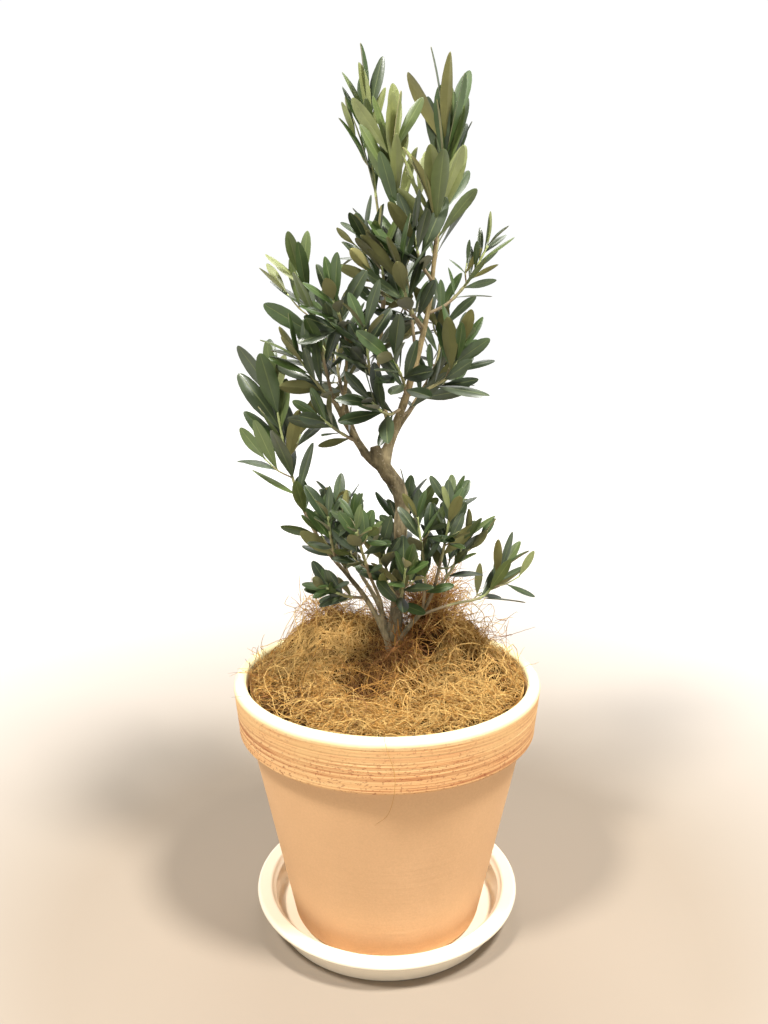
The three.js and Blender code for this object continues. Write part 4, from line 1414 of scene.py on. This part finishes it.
FLOOR_REACH = 12.0
FLOOR_NEAR = (0.33, 0.275, 0.215)
FLOOR_FAR = (0.8, 0.79, 0.77)
FLOOR_GLOW = 0.86

# The world's white reaches up to the first height and is dim from the second on.
SKY_WHITE = (0.36, (1.0, 1.0, 1.0, 1))
SKY_DIM = (0.46, (0.15, 0.149, 0.146, 1))
SKY_STRENGTH = 1.02

# Lamps: place, what it points at, size, power and colour.
LAMPS = {
    "key_left": ((-0.75, -0.83, 1.85), (0, 0, 0.2), 0.3, 43, (1.0, 0.97, 0.93)),
    "key_right": ((0.68, -0.6, 1.9), (0, 0, 0.2), 0.34, 56, (1.0, 0.97, 0.94)),
    "back": ((0, 0.75, 1.35), (0, 0, 0.1), 0.8, 8, (1.0, 0.99, 0.97)),
}

LENS = 30.23
SENSOR = 36
CAMERA_PLACE = (-0.0022, -0.589, 0.430)
CAMERA_DIP = 0.2056


def floor_finish():
    """Warm and pale about the pot, white far off, so that no horizon shows."""
    finish = Finish("pale_floor", 0.85, specular_ior_level=0.2)
    flat = finish.node("VectorMath", {0: finish.stretched(1, 1, 0)}, operation="LENGTH").outputs["Value"]
    far = finish.steps(finish.math("MULTIPLY", flat, 0.25), (0.06, 0.0), (0.4, 1.0))
    near = finish.steps(finish.noise(7), (0.3, FLOOR_NEAR), (0.7, times(FLOOR_NEAR, 1.02)))
    finish.colour(finish.blend(far, near, FLOOR_FAR))
    finish.shader.inputs["Emission Color"].default_value = (1, 0.99, 0.97, 1)
    glow = finish.math("MULTIPLY", far, FLOOR_GLOW)
    finish.tree.links.new(glow, finish.shader.inputs["Emission Strength"])
    return finish.material


def studio_world():
    """White near the horizon and dimmer overhead."""
    world = bpy.data.worlds.new("studio")
    bpy.context.scene.world = world
    world.use_nodes = True
    tree = world.node_tree
    way = tree.nodes.new("ShaderNodeTexCoord").outputs["Generated"]
    parts = tree.nodes.new("ShaderNodeSeparateXYZ")
    tree.links.new(way, parts.inputs["Vector"])
    shade = tree.nodes.new("ShaderNodeValToRGB")
    tree.links.new(parts.outputs["Z"], shade.inputs["Fac"])
    low, high = shade.color_ramp.elements
    low.position, low.color = SKY_WHITE
    high.position, high.color = SKY_DIM
    background = tree.nodes["Background"]
    tree.links.new(shade.outputs["Color"], background.inputs["Color"])
    background.inputs["Strength"].default_value = SKY_STRENGTH


def stage():
    """The floor the pot stands on, and the world about it."""
    floor_mesh = bpy.data.meshes.new("floor")
    corners = [(x * FLOOR_REACH, y * FLOOR_REACH, 0) for x, y in ((-1, -1), (1, -1), (1, 1), (-1, 1))]
    floor_mesh.from_pydata(corners, [], [(0, 1, 2, 3)])
    floor_mesh.materials.append(floor_finish())
    floor = bpy.data.objects.new("floor", floor_mesh)
    bpy.context.scene.collection.objects.link(floor)
    bpy.context.scene.view_settings.view_transform = "Standard"
    studio_world()


def soft_light(name, place, target, size, power, colour):
    """A round lamp that points at its target."""
    lamp = bpy.data.lights.new(name, "AREA")
    lamp.shape = "DISK"
    lamp.size = size
    lamp.energy = power
    lamp.color = colour
    holder = bpy.data.objects.new(name, lamp)
    holder.location = place
    holder.rotation_euler = (Vector(target) - Vector(place)).to_track_quat("-Z", "Y").to_euler()
    bpy.context.scene.collection.objects.link(holder)


def camera():
    """The photo's view."""
    lens = bpy.data.cameras.new("camera")
    lens.lens = LENS
    lens.sensor_width = SENSOR
    holder = bpy.data.objects.new("camera", lens)
    holder.location = CAMERA_PLACE
    holder.rotation_euler = (math.pi / 2 - CAMERA_DIP, 0, 0)
    bpy.context.scene.collection.objects.link(holder)
    bpy.context.scene.camera = holder


stage()
for lamp_name, lamp_row in LAMPS.items():
    soft_light(lamp_name, *lamp_row)
camera()
pot()
saucer()
soil()
mulch_bed()
strands()
limbs()
grow()
